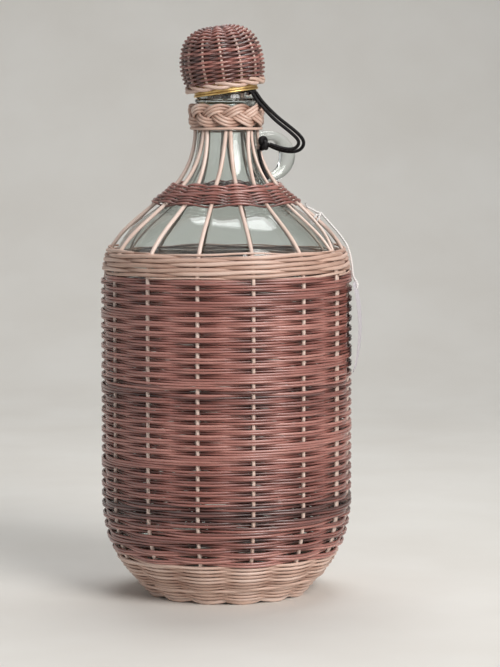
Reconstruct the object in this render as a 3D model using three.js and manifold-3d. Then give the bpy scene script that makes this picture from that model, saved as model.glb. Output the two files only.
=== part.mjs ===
// A wicker-covered wine jug: a glass jug with a finger ring inside a jacket of round reed, a loose metal
// cap under a woven knob, a black cord noosed round the neck, and a blank tag on a string.
// Millimetres, +Z up. The origin is the middle of the foot, on the surface that the jug stands on.
// Azimuth 0 is the front, -Y, and azimuth grows towards +X.
import * as THREE from 'three';
import { mergeVertices } from 'three/addons/utils/BufferGeometryUtils.js';
import Module from 'manifold-3d';

const wasm = await Module();
wasm.setup();

// Fits
const GAP = 0.3; // between pieces that touch

// Reed of the jacket
const STAKE_D = 2.5;
const WEAVER_T = 1.5; // how far a course stands out
const COURSE_PITCH = 3.6;
const BASE_PITCH = 4.6; // coarser reed under the base
const COURSE_GAP = 0.35; // daylight between courses
const WORKING_POSTS = 14; // stake positions that the weaver goes round in the body
const DOUBLED_POSTS = [2, 9]; // positions that hold two thinner stakes side by side
const THINNER = 0.8;
const FIRST_POST = 8; // where each weaver starts, at the back

// Glass jug
const BODY_R = 73.2;
const GLASS_WALL = 3;
const HEEL_R = 40; // flat of the base
const HEEL_H = 54; // height of the rounded heel
const SHOULDER_Z = 198; // where the wall starts to lean in
const SHOULDER_H = 97; // from there to the straight neck
const SHOULDER_PULL = 58; // fullness of the shoulder
const NECK_PULL = 60; // length of the sweep into the neck
const NECK_R = 18.2;
const NECK_L = 17; // straight neck up to the bead
const BEAD_R = 19.9;
const BEAD_H = 2.6;
const STEP_R = 18.6;
const STEP_H = 4;
const FINISH_R = 16.5;
const FINISH_H = 11.4; // threaded part over the step
const LIP_ROUND = 1.2;

// Finger ring of the jug
const RING_AZIMUTH = 114;
const RING_DROP = 0.6; // its top under the straight neck
const RING_REACH = 47.5;
const RING_HALF_H = 16.4;
const RING_ROOT_R = 9;
const RING_HOLE_IN = 24;
const RING_HOLE_OUT = 37;
const RING_HOLE_H = 20;
const RING_THICK = 8;
const RING_EDGE = 2.2; // rounding of its edges
const EDGE_SHARE = 0.35; // the most of the rim that the rounding takes

// Bands on the stakes, from the base up
const SLATH_R = 16; // inner ends of the stakes
const BASE_WEAVE_END_R = 42;
const BASE_BAND_TOP_Z = 28;
const BODY_LAP = 4; // how far the body weave goes on up the shoulder
const SHOULDER_BAND_H = 17;
const COLLAR_H = 12.6; // its top is level with the foot of the finger ring

// Sticks of the slath
const STICK_W = 2.8;
const STICK_T = 2.5;
const STICK_PITCH = 3.7;
const STICK_LAP = 0.2; // how far the crossed sticks press into each other

// Foot
const FOOT_H = 2.6;
const FOOT_W = 6;
const FOOT_SCALLOP = 0.8;
const FOOT_CLEAR = 3.5; // from the base weave to the foot
const BAND_CLEAR = 0.7; // from the foot to the base band

// Neck plait
const PLAIT_BIGHTS = 10;
const PLAIT_ROD_T = 2.4;
const PLAIT_ROD_H = 3.6;
const PLAIT_CLEAR = 0.6; // under the bead
const NECK_TWIST = 4; // degrees that the paired stakes lean round the neck
const NECK_RING_D = 1.8;

// Metal cap, which lies askew
const CAP_TILT = 8; // degrees, right side up
const CAP_PLAY = 0.9; // round the step of the neck
const NOOSE_PLAY = 0.5; // round the cord on the neck
const RIM_CLEAR = 0.5; // from the low side of the rim to the bead
const LIP_CLEAR = 0.5; // from the liner to the lip
const CAP_SHEET = 0.6;
const CAP_CURL = 0.5;
const LINER_T = 1.2;

// Woven knob over the cap
const COVER_POSTS = 13;
const COVER_STAKE_D = 1.8;
const COVER_WEAVER_T = 1.2;
const COVER_PITCH = 2.55;
const COVER_COURSE_GAP = 0.3;
const COVER_FOOT = 6.5; // height of the stakes' ends over the rim
const COVER_EASE = 0.15; // room for the bend of its stakes
const COVER_SWELL = 4.9; // how far the knob swells past the cap
const COVER_BULGE_Z = 17.5;
const COVER_TOP_Z = 41;
const COVER_CROWN_R = 5;
const BORDER_T = 3;
const BORDER_H = 3;
const CROWN_H = 2.4;

// Cords and tag
const TETHER_D = 2.2;
const STRING_D = 1.3;
const TETHER_STAKE = 4;
const TETHER_KNOT_DROP = 9; // under the straight neck
const TETHER_KNOT_END = 15; // degrees that the knot goes on round the second stake
const TAIL_DROP = 30;
const STRING_STAKE = 5;
const STRING_KNOT_DROP = 9; // under the collar
const STRING_AZIMUTH = 85;
const TAG_DROP = 3; // its top under the shoulder band
const TAG_L = 56;
const TAG_W = 34;
const TAG_T = 0.6;
const TAG_BOW = 3.6;
const TAG_HOLE_D = 4;
const TAG_HOLE_DROP = 4.5;

const FULL_TURN = 2 * Math.PI;
const QUARTER_TURN = Math.PI / 2;
const STAKE_R = STAKE_D / 2;
const TETHER_R = TETHER_D / 2;
const PASS = STAKE_R + GAP + WEAVER_T / 2; // from a stake's middle to a course over or under it
const radians = THREE.MathUtils.degToRad;

// How far a straight run between an over and an under pass dips below the under pass.
function chordDip(r, pass, posts) {
  const over = r + pass;
  const under = r - pass;
  const step = FULL_TURN / posts;
  const run = Math.sqrt(over ** 2 + under ** 2 - 2 * over * under * Math.cos(step));
  return Math.max(0, under - (over * under * Math.sin(step)) / run);
}

const STAND_OFF = PASS + WEAVER_T / 2 + chordDip(BODY_R + PASS, PASS, WORKING_POSTS) + GAP;
const JACKET_T = STAND_OFF + PASS + WEAVER_T / 2;
const BASE_Z = FOOT_H + GAP + STAKE_R + STAND_OFF; // underside of the glass
const NECK_Z = SHOULDER_Z + SHOULDER_H;
const BEAD_Z = NECK_Z + NECK_L;
const BEAD_TOP = BEAD_Z + BEAD_H;
const STEP_TOP = BEAD_TOP + STEP_H;
const MOUTH_Z = STEP_TOP + FINISH_H;

const RING_Z = NECK_Z - RING_DROP - RING_HALF_H;
const BODY_TOP_Z = SHOULDER_Z + BODY_LAP;
const SHOULDER_TOP_Z = BODY_TOP_Z + SHOULDER_BAND_H;
const COLLAR_TOP_Z = RING_Z - RING_HALF_H;
const COLLAR_Z = COLLAR_TOP_Z - COLLAR_H;
const FOOT_R = BASE_WEAVE_END_R + FOOT_CLEAR + FOOT_W / 2;
const BASE_BAND_START_R = FOOT_R + FOOT_SCALLOP + FOOT_W / 2 + BAND_CLEAR;

// The cap hangs over to its low side until its liner lies on the lip.
const LEAN = THREE.MathUtils.degToRad(CAP_TILT);
const CAP_INSIDE_R = Math.max(STEP_R + CAP_PLAY, FINISH_R + GAP + TETHER_D + NOOSE_PLAY);
const CAP_R = CAP_INSIDE_R + CAP_SHEET;
const CAP_RIM_Z = BEAD_TOP + RIM_CLEAR + (CAP_R + CAP_CURL) * Math.sin(LEAN);
const LIP_OVER_RIM = (MOUTH_Z - CAP_RIM_Z) * Math.cos(LEAN) + (FINISH_R - LIP_ROUND) * Math.sin(LEAN);
const LINER_SEAT = LIP_OVER_RIM + LIP_CLEAR;
const COVER_BULGE_R = CAP_R + COVER_SWELL;

const glassLook = { color: 0xc9d3cf, roughness: 0.05, metalness: 0 };
const paleReed = { color: 0xd3ab90, roughness: 0.6, metalness: 0 };
const brownReed = { color: 0x86554b, roughness: 0.5, metalness: 0 };
const goldTin = { color: 0xc79a4a, roughness: 0.25, metalness: 1 };
const linerFoam = { color: 0xe8e4da, roughness: 0.8, metalness: 0 };
const blackCord = { color: 0x17171a, roughness: 0.55, metalness: 0 };
const whiteString = { color: 0xe9e4e2, roughness: 0.85, metalness: 0 };
const tagCard = { color: 0xcfc9d2, roughness: 0.7, metalness: 0 };

const model = new THREE.Group();
const cap = new THREE.Group();
cap.position.z = CAP_RIM_Z;
cap.rotation.y = -LEAN;
model.add(cap);

function add(name, geometry, look, parent = model) {
  const mesh = new THREE.Mesh(geometry, new THREE.MeshStandardMaterial(look));
  mesh.name = name;
  parent.add(mesh);
  return mesh;
}

function place(r, azimuth, z) {
  return new THREE.Vector3(r * Math.sin(azimuth), -r * Math.cos(azimuth), z);
}

function outward(azimuth) {
  return place(1, azimuth, 0);
}

// Turns the triangles of a closed mesh to face out.
function facingOut(geometry) {
  const p = geometry.attributes.position;
  const index = geometry.index.array;
  const [a, b, c] = [new THREE.Vector3(), new THREE.Vector3(), new THREE.Vector3()];
  let volume = 0;
  for (let i = 0; i < index.length; i += 3) {
    a.fromBufferAttribute(p, index[i]);
    b.fromBufferAttribute(p, index[i + 1]);
    c.fromBufferAttribute(p, index[i + 2]);
    volume += a.dot(b.cross(c));
  }
  if (volume < 0) {
    for (let i = 0; i < index.length; i += 3) {
      [index[i], index[i + 1]] = [index[i + 1], index[i]];
    }
  }
  return geometry;
}

// A strand through stops that each have a place and the two directions that its section lies in.
function strand(stops, section, closed) {
  const positions = [];
  const index = [];
  const n = section.length;
  for (const { at, up, out } of stops) {
    for (const [u, v] of section) {
      positions.push(at.x + u * up.x + v * out.x, at.y + u * up.y + v * out.y, at.z + u * up.z + v * out.z);
    }
  }
  const spans = closed ? stops.length : stops.length - 1;
  for (let i = 0; i < spans; i++) {
    const here = i * n;
    const next = ((i + 1) % stops.length) * n;
    for (let k = 0; k < n; k++) {
      const l = (k + 1) % n;
      index.push(here + k, here + l, next + l, here + k, next + l, next + k);
    }
  }
  if (!closed) {
    const last = (stops.length - 1) * n;
    for (let k = 1; k < n - 1; k++) {
      index.push(0, k + 1, k, last, last + k, last + k + 1);
    }
  }
  const geometry = new THREE.BufferGeometry();
  geometry.setAttribute('position', new THREE.Float32BufferAttribute(positions, 3));
  geometry.setIndex(index);
  return facingOut(geometry);
}

function polygon(sides, r) {
  const corner = (k) => (FULL_TURN * (k + 0.5)) / sides;
  return Array.from({ length: sides }, (_, k) => [r * Math.cos(corner(k)), r * Math.sin(corner(k))]);
}

// A round tube along a curve.
function tube(curve, steps, r, sides = 8) {
  const section = new THREE.Shape(polygon(sides, r).map(([x, y]) => new THREE.Vector2(x, y)));
  const geometry = new THREE.ExtrudeGeometry(section, { steps, extrudePath: curve });
  return facingOut(bare(geometry));
}

function bare(geometry) {
  geometry.deleteAttribute('normal');
  geometry.deleteAttribute('uv');
  return mergeVertices(geometry, 1e-3);
}

function solid(geometry) {
  const merged = facingOut(bare(geometry));
  const mesh = new wasm.Mesh({
    numProp: 3,
    vertProperties: new Float32Array(merged.attributes.position.array),
    triVerts: new Uint32Array(merged.index.array),
  });
  return new wasm.Manifold(mesh);
}

function geometryOf(manifold) {
  const { vertProperties, triVerts } = manifold.getMesh();
  const geometry = new THREE.BufferGeometry();
  geometry.setAttribute('position', new THREE.BufferAttribute(vertProperties, 3));
  geometry.setIndex(new THREE.BufferAttribute(triVerts, 1));
  return geometry;
}

// LatheGeometry turns about Y, so its result is stood up on Z.
function turned(points, segments) {
  return new THREE.LatheGeometry(points, segments).rotateX(Math.PI / 2);
}

// Outline of the glass that the jacket lies on, from the slath out and up to the straight neck
const wall = new THREE.Path();
wall.moveTo(SLATH_R, BASE_Z);
wall.lineTo(HEEL_R, BASE_Z);
wall.absellipse(HEEL_R, BASE_Z + HEEL_H, BODY_R - HEEL_R, HEEL_H, -Math.PI / 2, 0, false, 0);
wall.lineTo(BODY_R, SHOULDER_Z);
wall.bezierCurveTo(BODY_R, SHOULDER_Z + SHOULDER_PULL, NECK_R, NECK_Z - NECK_PULL, NECK_R, NECK_Z);
const WALL_L = wall.getLength();

// The place that far along the outline, that far off the glass.
function onWall(along, off) {
  const u = along / WALL_L;
  const at = wall.getPoint(u);
  const run = wall.getTangent(u);
  return { r: at.x + run.y * off, z: at.y - run.x * off, run };
}

function alongAt(reached) {
  let low = 0;
  let high = WALL_L;
  for (let i = 0; i < 40; i++) {
    const middle = (low + high) / 2;
    if (reached(onWall(middle, STAND_OFF))) {
      high = middle;
    } else {
      low = middle;
    }
  }
  return high;
}

const alongAtZ = (z) => alongAt((p) => p.z >= z);
const alongAtR = (r) => alongAt((p) => p.r >= r);

// Stakes lie at their working post up to the shoulder, spread evenly at the collar and pair at the neck.
const stakes = [];
for (let post = 0; post < WORKING_POSTS; post++) {
  const azimuth = FULL_TURN * ((post + 0.5) / WORKING_POSTS);
  if (DOUBLED_POSTS.includes(post)) {
    const half = STAKE_R * THINNER;
    stakes.push({ post: azimuth, aside: -half - GAP / 2, thick: THINNER, added: false });
    stakes.push({ post: azimuth, aside: half + GAP / 2, thick: THINNER, added: true });
  } else {
    stakes.push({ post: azimuth, aside: 0, thick: 1, added: false });
  }
}
const SPREAD = FULL_TURN / stakes.length;
const NECK_STAKE_R = NECK_R + GAP + STAKE_R;
const PAIR_SIDE = (STAKE_R + GAP / 2) / NECK_STAKE_R;
const RING_SIDE = Math.asin((RING_THICK / 2 + GAP + STAKE_R) / NECK_STAKE_R) + PAIR_SIDE;

// A pair beside the finger ring stands clear of it.
function clearOfRing(pair) {
  const aside = pair - radians(RING_AZIMUTH);
  return Math.abs(aside) < RING_SIDE ? radians(RING_AZIMUTH) + Math.sign(aside) * RING_SIDE : pair;
}

stakes.forEach((stake, i) => {
  stake.collar = SPREAD * (i + 0.5);
  const pair = clearOfRing(SPREAD * 2 * Math.floor((i + 1) / 2) + radians(NECK_TWIST));
  stake.neck = pair + (i % 2 ? -PAIR_SIDE : PAIR_SIDE);
});

const SHOULDER_TOP = alongAtZ(SHOULDER_TOP_Z);
const COLLAR = alongAtZ(COLLAR_Z);
const COLLAR_END = alongAtZ(COLLAR_TOP_Z);
const BASE_WEAVE_START = alongAtR(SLATH_R + STAKE_D);
const BASE_WEAVE_END = alongAtR(BASE_WEAVE_END_R);
const BAND_START = alongAtR(BASE_BAND_START_R);
const HEEL_TOP = alongAtZ(BASE_Z + HEEL_H);

function stakeAt(stake, along) {
  const slack = GAP + STAKE_R;
  const upNeck = THREE.MathUtils.smoothstep(along, COLLAR_END, WALL_L);
  const { r, z, run } = onWall(along, THREE.MathUtils.lerp(STAND_OFF, slack, upNeck));
  const parted = THREE.MathUtils.clamp((along - BASE_WEAVE_END) / (BAND_START - BASE_WEAVE_END), 0, 1);
  const body = stake.post + Math.asin((stake.aside * parted) / r);
  const spread = THREE.MathUtils.clamp((along - SHOULDER_TOP) / (COLLAR - SHOULDER_TOP), 0, 1);
  const paired = THREE.MathUtils.clamp((along - COLLAR_END) / (WALL_L - COLLAR_END), 0, 1);
  const azimuth = THREE.MathUtils.lerp(THREE.MathUtils.lerp(body, stake.collar, spread), stake.neck, paired);
  return { r, z, run, azimuth };
}

// Directions along and off the jug's surface.
function framed({ r, z, run, azimuth }) {
  const flat = outward(azimuth);
  const up = flat.clone().multiplyScalar(run.x).setZ(run.y);
  const out = flat.clone().multiplyScalar(run.y).setZ(-run.x);
  return { at: place(r, azimuth, z), up, out };
}

function sideways(azimuth) {
  return new THREE.Vector3(Math.cos(azimuth), Math.sin(azimuth), 0);
}

// A four-sided rod that has its corners in front, behind and at the sides.
function rodSection(r) {
  return [
    [r, 0],
    [0, r],
    [-r, 0],
    [0, -r],
  ];
}

function between(from, to, shares) {
  return shares.map((share) => THREE.MathUtils.lerp(from, to, share));
}

// A doubled stake's second rod is pushed in beside the first where the base weave ends.
function makeStakes() {
  const heel = alongAtR(HEEL_R);
  const bends = [
    0,
    BASE_WEAVE_END,
    ...between(heel, HEEL_TOP, [0, 0.15, 0.3, 0.45, 0.63, 0.82, 1]),
    ...between(alongAtZ(SHOULDER_Z), SHOULDER_TOP, [0, 0.5, 1]),
    ...between(SHOULDER_TOP, COLLAR, [0.5, 1]),
    ...between(COLLAR, COLLAR_END, [0.5, 1]),
    ...between(COLLAR_END, WALL_L, [0.3, 0.6, 1]),
  ].sort((a, b) => a - b);
  const stops = bends.filter((along, i) => i === 0 || along - bends[i - 1] > STAKE_D);
  stakes.forEach((stake, i) => {
    const used = stake.added ? [BAND_START, ...stops.filter((along) => along > BAND_START + STAKE_D)] : stops;
    const path = used.map((along) => {
      const spot = stakeAt(stake, along);
      const { at, out } = framed(spot);
      return { at, up: sideways(spot.azimuth), out };
    });
    const name = `stake_${String(i + 1).padStart(2, '0')}`;
    add(name, strand(path, rodSection(STAKE_R * stake.thick), false), paleReed);
  });
}

// With an even number of posts the weaver passes in front of two posts once a round, and the place moves
// on by one post, so that each course alternates with the one below.
function passesInFront(step, posts) {
  const steps = posts % 2 ? step : step + Math.floor(step / (posts + 1));
  return steps % 2 === 0;
}

function courseSection(height, thick) {
  return [
    [-height / 2, -thick / 2],
    [height / 2, -thick / 2],
    [0, thick / 2],
  ];
}

// One weaver that winds up the wall, over and under the posts. Tells on which side its last pass lies, where
// the next weaver up takes over.
function weave(from, to, posts, wanted, startsInFront) {
  const first = startsInFront ? 0 : 1;
  const rounds = Math.max(1, Math.round((to - from) / wanted));
  const pitch = (to - from) / rounds;
  const stops = [];
  let inFront = startsInFront;
  for (let step = 0; step <= rounds * posts - posts; step++) {
    const along = from + pitch * (0.5 + step / posts);
    const azimuth = FULL_TURN * ((step + FIRST_POST + 0.5) / posts);
    inFront = passesInFront(step + first, posts);
    stops.push(framed({ ...onWall(along, STAND_OFF + (inFront ? PASS : -PASS)), azimuth }));
  }
  return { geometry: strand(stops, courseSection(pitch - COURSE_GAP, WEAVER_T), false), inFront };
}

function makeWeaves() {
  const bandEnd = alongAtZ(BASE_BAND_TOP_Z);
  const bodyEnd = alongAtZ(BODY_TOP_Z);
  const underBase = weave(BASE_WEAVE_START, BASE_WEAVE_END, WORKING_POSTS, BASE_PITCH, true);
  const band = weave(BAND_START, bandEnd, WORKING_POSTS, COURSE_PITCH, true);
  const body = weave(bandEnd, bodyEnd, WORKING_POSTS, COURSE_PITCH, band.inFront);
  const shoulder = weave(bodyEnd, SHOULDER_TOP, WORKING_POSTS, COURSE_PITCH, body.inFront);
  const collar = weave(COLLAR, COLLAR_END, stakes.length, COURSE_PITCH, true);
  add('base_weave', underBase.geometry, paleReed);
  add('base_band', band.geometry, paleReed);
  add('body_weave', body.geometry, brownReed);
  add('shoulder_wale', shoulder.geometry, paleReed);
  add('collar_weave', collar.geometry, brownReed);
}

// The middle of the base: three sticks laid across three.
function makeSlath() {
  const sticks = 3;
  const length = 2 * (SLATH_R - STAKE_D - GAP) - STICK_PITCH;
  const upper = BASE_Z - GAP - STICK_T / 2;
  const lower = upper - STICK_T + STICK_LAP;
  let slath = null;
  for (let i = 0; i < sticks; i++) {
    const aside = (i - (sticks - 1) / 2) * STICK_PITCH;
    const along = new THREE.BoxGeometry(length, STICK_W, STICK_T).translate(0, aside, upper);
    const across = new THREE.BoxGeometry(STICK_W, length, STICK_T).translate(aside, 0, lower);
    for (const stick of [along, across]) {
      slath = slath ? slath.add(solid(stick)) : solid(stick);
    }
  }
  add('base_slath', geometryOf(slath), paleReed);
}

// Rods rolled round the foot, one arc to a stake, with the flat underside that the jug stands on.
function makeFoot() {
  const perArc = 2;
  const stops = [];
  for (let i = 0; i < WORKING_POSTS * perArc; i++) {
    const azimuth = FULL_TURN * (i / (WORKING_POSTS * perArc));
    const swell = FOOT_SCALLOP * Math.abs(Math.sin((azimuth * WORKING_POSTS) / 2));
    stops.push({
      at: place(FOOT_R + swell, azimuth, 0),
      up: new THREE.Vector3(0, 0, 1),
      out: outward(azimuth),
    });
  }
  const half = FOOT_W / 2;
  const shelf = half * 0.6;
  const underStakes = (r) => onWall(alongAtR(r), STAND_OFF + STAKE_R).z - GAP;
  const section = [
    [0, -half * 0.8],
    [0, half * 0.8],
    [FOOT_H / 2, half],
    [underStakes(FOOT_R + shelf), shelf],
    [underStakes(FOOT_R - shelf), -shelf],
    [FOOT_H / 2, -half],
  ];
  add('foot_border', strand(stops, section, true), paleReed);
}

function makeNeckWork() {
  const stepsPerTurn = 26;
  const swing = (PLAIT_ROD_T + 2 * GAP) / (2 * Math.sin(FULL_TURN / 6)) + GAP / 2;
  const middleR = NECK_R + GAP + PLAIT_ROD_T / 2 + swing;
  const stakeOut = NECK_R + GAP + STAKE_D;
  const ringR = stakeOut + GAP + NECK_RING_D / 2;
  const plaitFoot = NECK_Z + NECK_RING_D + 2 * GAP;
  const rise = (BEAD_Z - PLAIT_CLEAR - plaitFoot - PLAIT_ROD_H) / 2;
  const middleZ = plaitFoot + rise + PLAIT_ROD_H / 2;
  const rod = [
    [-PLAIT_ROD_H / 2, 0],
    [0, PLAIT_ROD_T / 2],
    [PLAIT_ROD_H / 2, 0],
    [0, -PLAIT_ROD_T / 2],
  ];
  const stops = [];
  for (let i = 0; i < 3 * stepsPerTurn; i++) {
    const azimuth = FULL_TURN * (i / stepsPerTurn);
    const phase = (azimuth * PLAIT_BIGHTS) / 3;
    const r = middleR + swing * Math.sin(2 * phase);
    const z = middleZ + rise * Math.sin(phase);
    stops.push({ at: place(r, azimuth, z), up: new THREE.Vector3(0, 0, 1), out: outward(azimuth) });
  }
  add('neck_plait', strand(stops, rod, true), paleReed);
  const ring = new THREE.TorusGeometry(ringR, NECK_RING_D / 2, 5, 22).translate(0, 0, NECK_Z);
  add('neck_ring', facingOut(bare(ring)), paleReed);
}

// Corners of the heel that the inside of the glass does without
const HEEL_CORNERS_LEFT_OUT = [2, 4];

function makeGlass() {
  const segments = 22;
  const outer = [];
  outer.push(new THREE.Vector2(0, BASE_Z), new THREE.Vector2(HEEL_R, BASE_Z));
  const heel = alongOnGlass(BASE_Z + HEEL_H);
  const bottom = HEEL_R - SLATH_R;
  for (const share of [0.3, 0.55, 0.78, 1]) {
    outer.push(wall.getPoint(THREE.MathUtils.lerp(bottom, heel, share) / WALL_L));
  }
  const shoulder = alongOnGlass(SHOULDER_Z);
  for (let i = 0; i <= 8; i++) {
    outer.push(wall.getPoint(THREE.MathUtils.lerp(shoulder, WALL_L, i / 8) / WALL_L));
  }
  const inset = outer.map((p, i) => insetPoint(outer, i));
  const inner = inset.filter((p, i) => p.y < NECK_Z && !HEEL_CORNERS_LEFT_OUT.includes(i));
  const finish = [
    [NECK_R, BEAD_Z],
    [BEAD_R, BEAD_Z + BEAD_H / 3],
    [BEAD_R, BEAD_TOP - GAP],
    [STEP_R, BEAD_TOP],
    [STEP_R, STEP_TOP],
    [FINISH_R, STEP_TOP],
    [FINISH_R, MOUTH_Z - LIP_ROUND],
    [FINISH_R - LIP_ROUND, MOUTH_Z],
    [0, MOUTH_Z],
  ];
  outer.push(...finish.map(([r, z]) => new THREE.Vector2(r, z)));
  const bore = FINISH_R - GLASS_WALL;
  inner[0].x = 0;
  inner.push(new THREE.Vector2(bore, NECK_Z), new THREE.Vector2(bore, MOUTH_Z + GLASS_WALL));
  inner.push(new THREE.Vector2(0, MOUTH_Z + GLASS_WALL));
  const jug = solid(turned(outer, segments)).add(solid(fingerRing()));
  add('glass_jug', geometryOf(jug.subtract(solid(turned(inner, segments)))), glassLook);
}

function alongOnGlass(z) {
  let low = 0;
  let high = WALL_L;
  for (let i = 0; i < 40; i++) {
    const middle = (low + high) / 2;
    if (wall.getPoint(middle / WALL_L).y >= z) {
      high = middle;
    } else {
      low = middle;
    }
  }
  return high;
}

// A point of the outline moved in by the glass thickness, square to the outline there.
function insetPoint(points, i) {
  const before = points[Math.max(i - 1, 0)];
  const after = points[Math.min(i + 1, points.length - 1)];
  const run = after.clone().sub(before).normalize();
  const p = points[i];
  return new THREE.Vector2(Math.max(p.x - run.y * GLASS_WALL, 0), p.y + run.x * GLASS_WALL);
}

function fingerRing() {
  const outline = new THREE.Shape();
  const middle = (RING_ROOT_R + RING_REACH) / 2;
  const rim = Math.min(RING_REACH - RING_HOLE_OUT, RING_HALF_H - RING_HOLE_H / 2, RING_THICK);
  const edge = Math.min(RING_EDGE, EDGE_SHARE * rim);
  outline.absellipse(middle, 0, RING_REACH - middle - edge, RING_HALF_H - edge, 0, FULL_TURN, false, 0);
  const hole = new THREE.Path();
  const holeMiddle = (RING_HOLE_IN + RING_HOLE_OUT) / 2;
  const holeHalf = (RING_HOLE_OUT - RING_HOLE_IN) / 2;
  hole.absellipse(holeMiddle, 0, holeHalf + edge, RING_HOLE_H / 2 + edge, 0, FULL_TURN, true, 0);
  outline.holes.push(hole);
  const flat = RING_THICK - 2 * edge;
  const ring = new THREE.ExtrudeGeometry(outline, {
    depth: flat,
    curveSegments: 7,
    bevelThickness: edge,
    bevelSize: edge,
    bevelSegments: 1,
  });
  ring.translate(0, 0, -flat / 2).rotateX(Math.PI / 2).rotateZ(radians(RING_AZIMUTH - 90));
  return ring.translate(0, 0, RING_Z);
}

function makeCap() {
  const under = LINER_SEAT + LINER_T + GAP;
  const top = under + CAP_SHEET;
  const profile = [
    [0, under],
    [CAP_INSIDE_R, under],
    [CAP_INSIDE_R, 0],
    [CAP_R + CAP_CURL, 0],
    [CAP_R + CAP_CURL, 2 * CAP_CURL],
    [CAP_R, 3 * CAP_CURL],
    [CAP_R, top - CAP_CURL],
    [CAP_R - CAP_CURL, top],
    [0, top],
  ].map(([r, z]) => new THREE.Vector2(r, z));
  add('screw_cap', facingOut(bare(turned(profile, 22))), goldTin, cap);
  const disc = [
    [0, LINER_SEAT],
    [CAP_INSIDE_R - GAP, LINER_SEAT],
    [CAP_INSIDE_R - GAP, LINER_SEAT + LINER_T],
    [0, LINER_SEAT + LINER_T],
  ].map(([r, z]) => new THREE.Vector2(r, z));
  add('cap_liner', facingOut(bare(turned(disc, 22))), linerFoam, cap);
}

function makeCover() {
  const stakeR = COVER_STAKE_D / 2;
  const pass = stakeR + GAP + COVER_EASE + COVER_WEAVER_T / 2;
  const footR = CAP_R + GAP + COVER_WEAVER_T / 2 + pass;
  const dome = new THREE.Path();
  dome.moveTo(footR, COVER_FOOT);
  dome.quadraticCurveTo(COVER_BULGE_R, (COVER_FOOT + COVER_BULGE_Z) / 2, COVER_BULGE_R, COVER_BULGE_Z);
  const rise = COVER_TOP_Z - COVER_BULGE_Z;
  const reach = COVER_BULGE_R - COVER_CROWN_R;
  dome.bezierCurveTo(
    COVER_BULGE_R,
    COVER_BULGE_Z + rise * 0.7,
    COVER_CROWN_R + reach * 0.65,
    COVER_TOP_Z,
    COVER_CROWN_R,
    COVER_TOP_Z,
  );
  const length = dome.getLength();
  const onDome = (along, off) => {
    const at = dome.getPoint(along / length);
    const run = dome.getTangent(along / length);
    return { r: at.x + run.y * off, z: at.y - run.x * off, run };
  };
  const post = (step) => FULL_TURN * (step / COVER_POSTS);
  for (let i = 0; i < COVER_POSTS; i++) {
    const stops = [0, 0.2, 0.38, 0.53, 0.66, 0.8, 1].map((share) => {
      const { at, out } = framed({ ...onDome(share * length, 0), azimuth: post(i) });
      return { at, up: sideways(post(i)), out };
    });
    const name = `cover_stake_${String(i + 1).padStart(2, '0')}`;
    add(name, strand(stops, polygon(3, stakeR), false), paleReed, cap);
  }
  const rounds = Math.floor((length - COVER_STAKE_D) / COVER_PITCH);
  const stops = [];
  for (let step = 0; step <= (rounds - 1) * COVER_POSTS; step++) {
    const along = COVER_PITCH * (0.5 + step / COVER_POSTS);
    const side = passesInFront(step, COVER_POSTS) ? pass : -pass;
    stops.push(framed({ ...onDome(along, side), azimuth: post(step) }));
  }
  const section = courseSection(COVER_PITCH - COVER_COURSE_GAP, COVER_WEAVER_T);
  add('cover_weave', strand(stops, section, false), brownReed, cap);
  makeBorder(footR);
  const crown = [
    [0, COVER_TOP_Z - CROWN_H / 2],
    [COVER_CROWN_R - GAP, COVER_TOP_Z - CROWN_H / 2],
    [COVER_CROWN_R - GAP, COVER_TOP_Z],
    [COVER_CROWN_R / 2, COVER_TOP_Z + CROWN_H / 2],
    [0, COVER_TOP_Z + CROWN_H / 2],
  ].map(([r, z]) => new THREE.Vector2(r, z));
  add('cover_crown', facingOut(bare(turned(crown, 13))), paleReed, cap);
}

// Rods turned down round the knob's lower edge, one arc to a stake.
function makeBorder(r) {
  const perArc = 2;
  const stops = [];
  const lowest = COVER_FOOT - GAP - BORDER_H;
  for (let i = 0; i < COVER_POSTS * perArc; i++) {
    const azimuth = FULL_TURN * (i / (COVER_POSTS * perArc));
    stops.push({ at: place(r, azimuth, lowest), up: new THREE.Vector3(0, 0, 1), out: outward(azimuth) });
  }
  const section = [
    [0, 0],
    [BORDER_H / 2, BORDER_T / 2],
    [BORDER_H, 0],
    [BORDER_H / 2, -BORDER_T / 2],
  ];
  add('cover_border', strand(stops, section, true), paleReed, cap);
}

function curveThrough(points) {
  const places = points.map(([x, y, z]) => new THREE.Vector3(x, y, z));
  return new THREE.CatmullRomCurve3(places, false, 'centripetal');
}

// A hitch over the outer side of one stake, or of two that lie side by side.
function hitch(held, z, cordR, lastTurn) {
  const bend = STAKE_R + 2 * GAP + cordR;
  const spots = held.map((stake) => stakeAt(stake, alongAtZ(z)));
  const points = [];
  spots.forEach((spot, i) => {
    const { at, out } = framed(spot);
    const side = sideways(spot.azimuth);
    const from = i > 0 ? 0 : -QUARTER_TURN;
    const to = i < spots.length - 1 ? 0 : lastTurn;
    for (const turn of between(from, to, [0, 0.25, 0.5, 0.75, 1])) {
      const aside = bend * Math.sin(turn);
      points.push(at.clone().addScaledVector(out, bend * Math.cos(turn)).addScaledVector(side, aside));
    }
  });
  return tube(new THREE.CatmullRomCurve3(points), 8, cordR);
}

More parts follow.
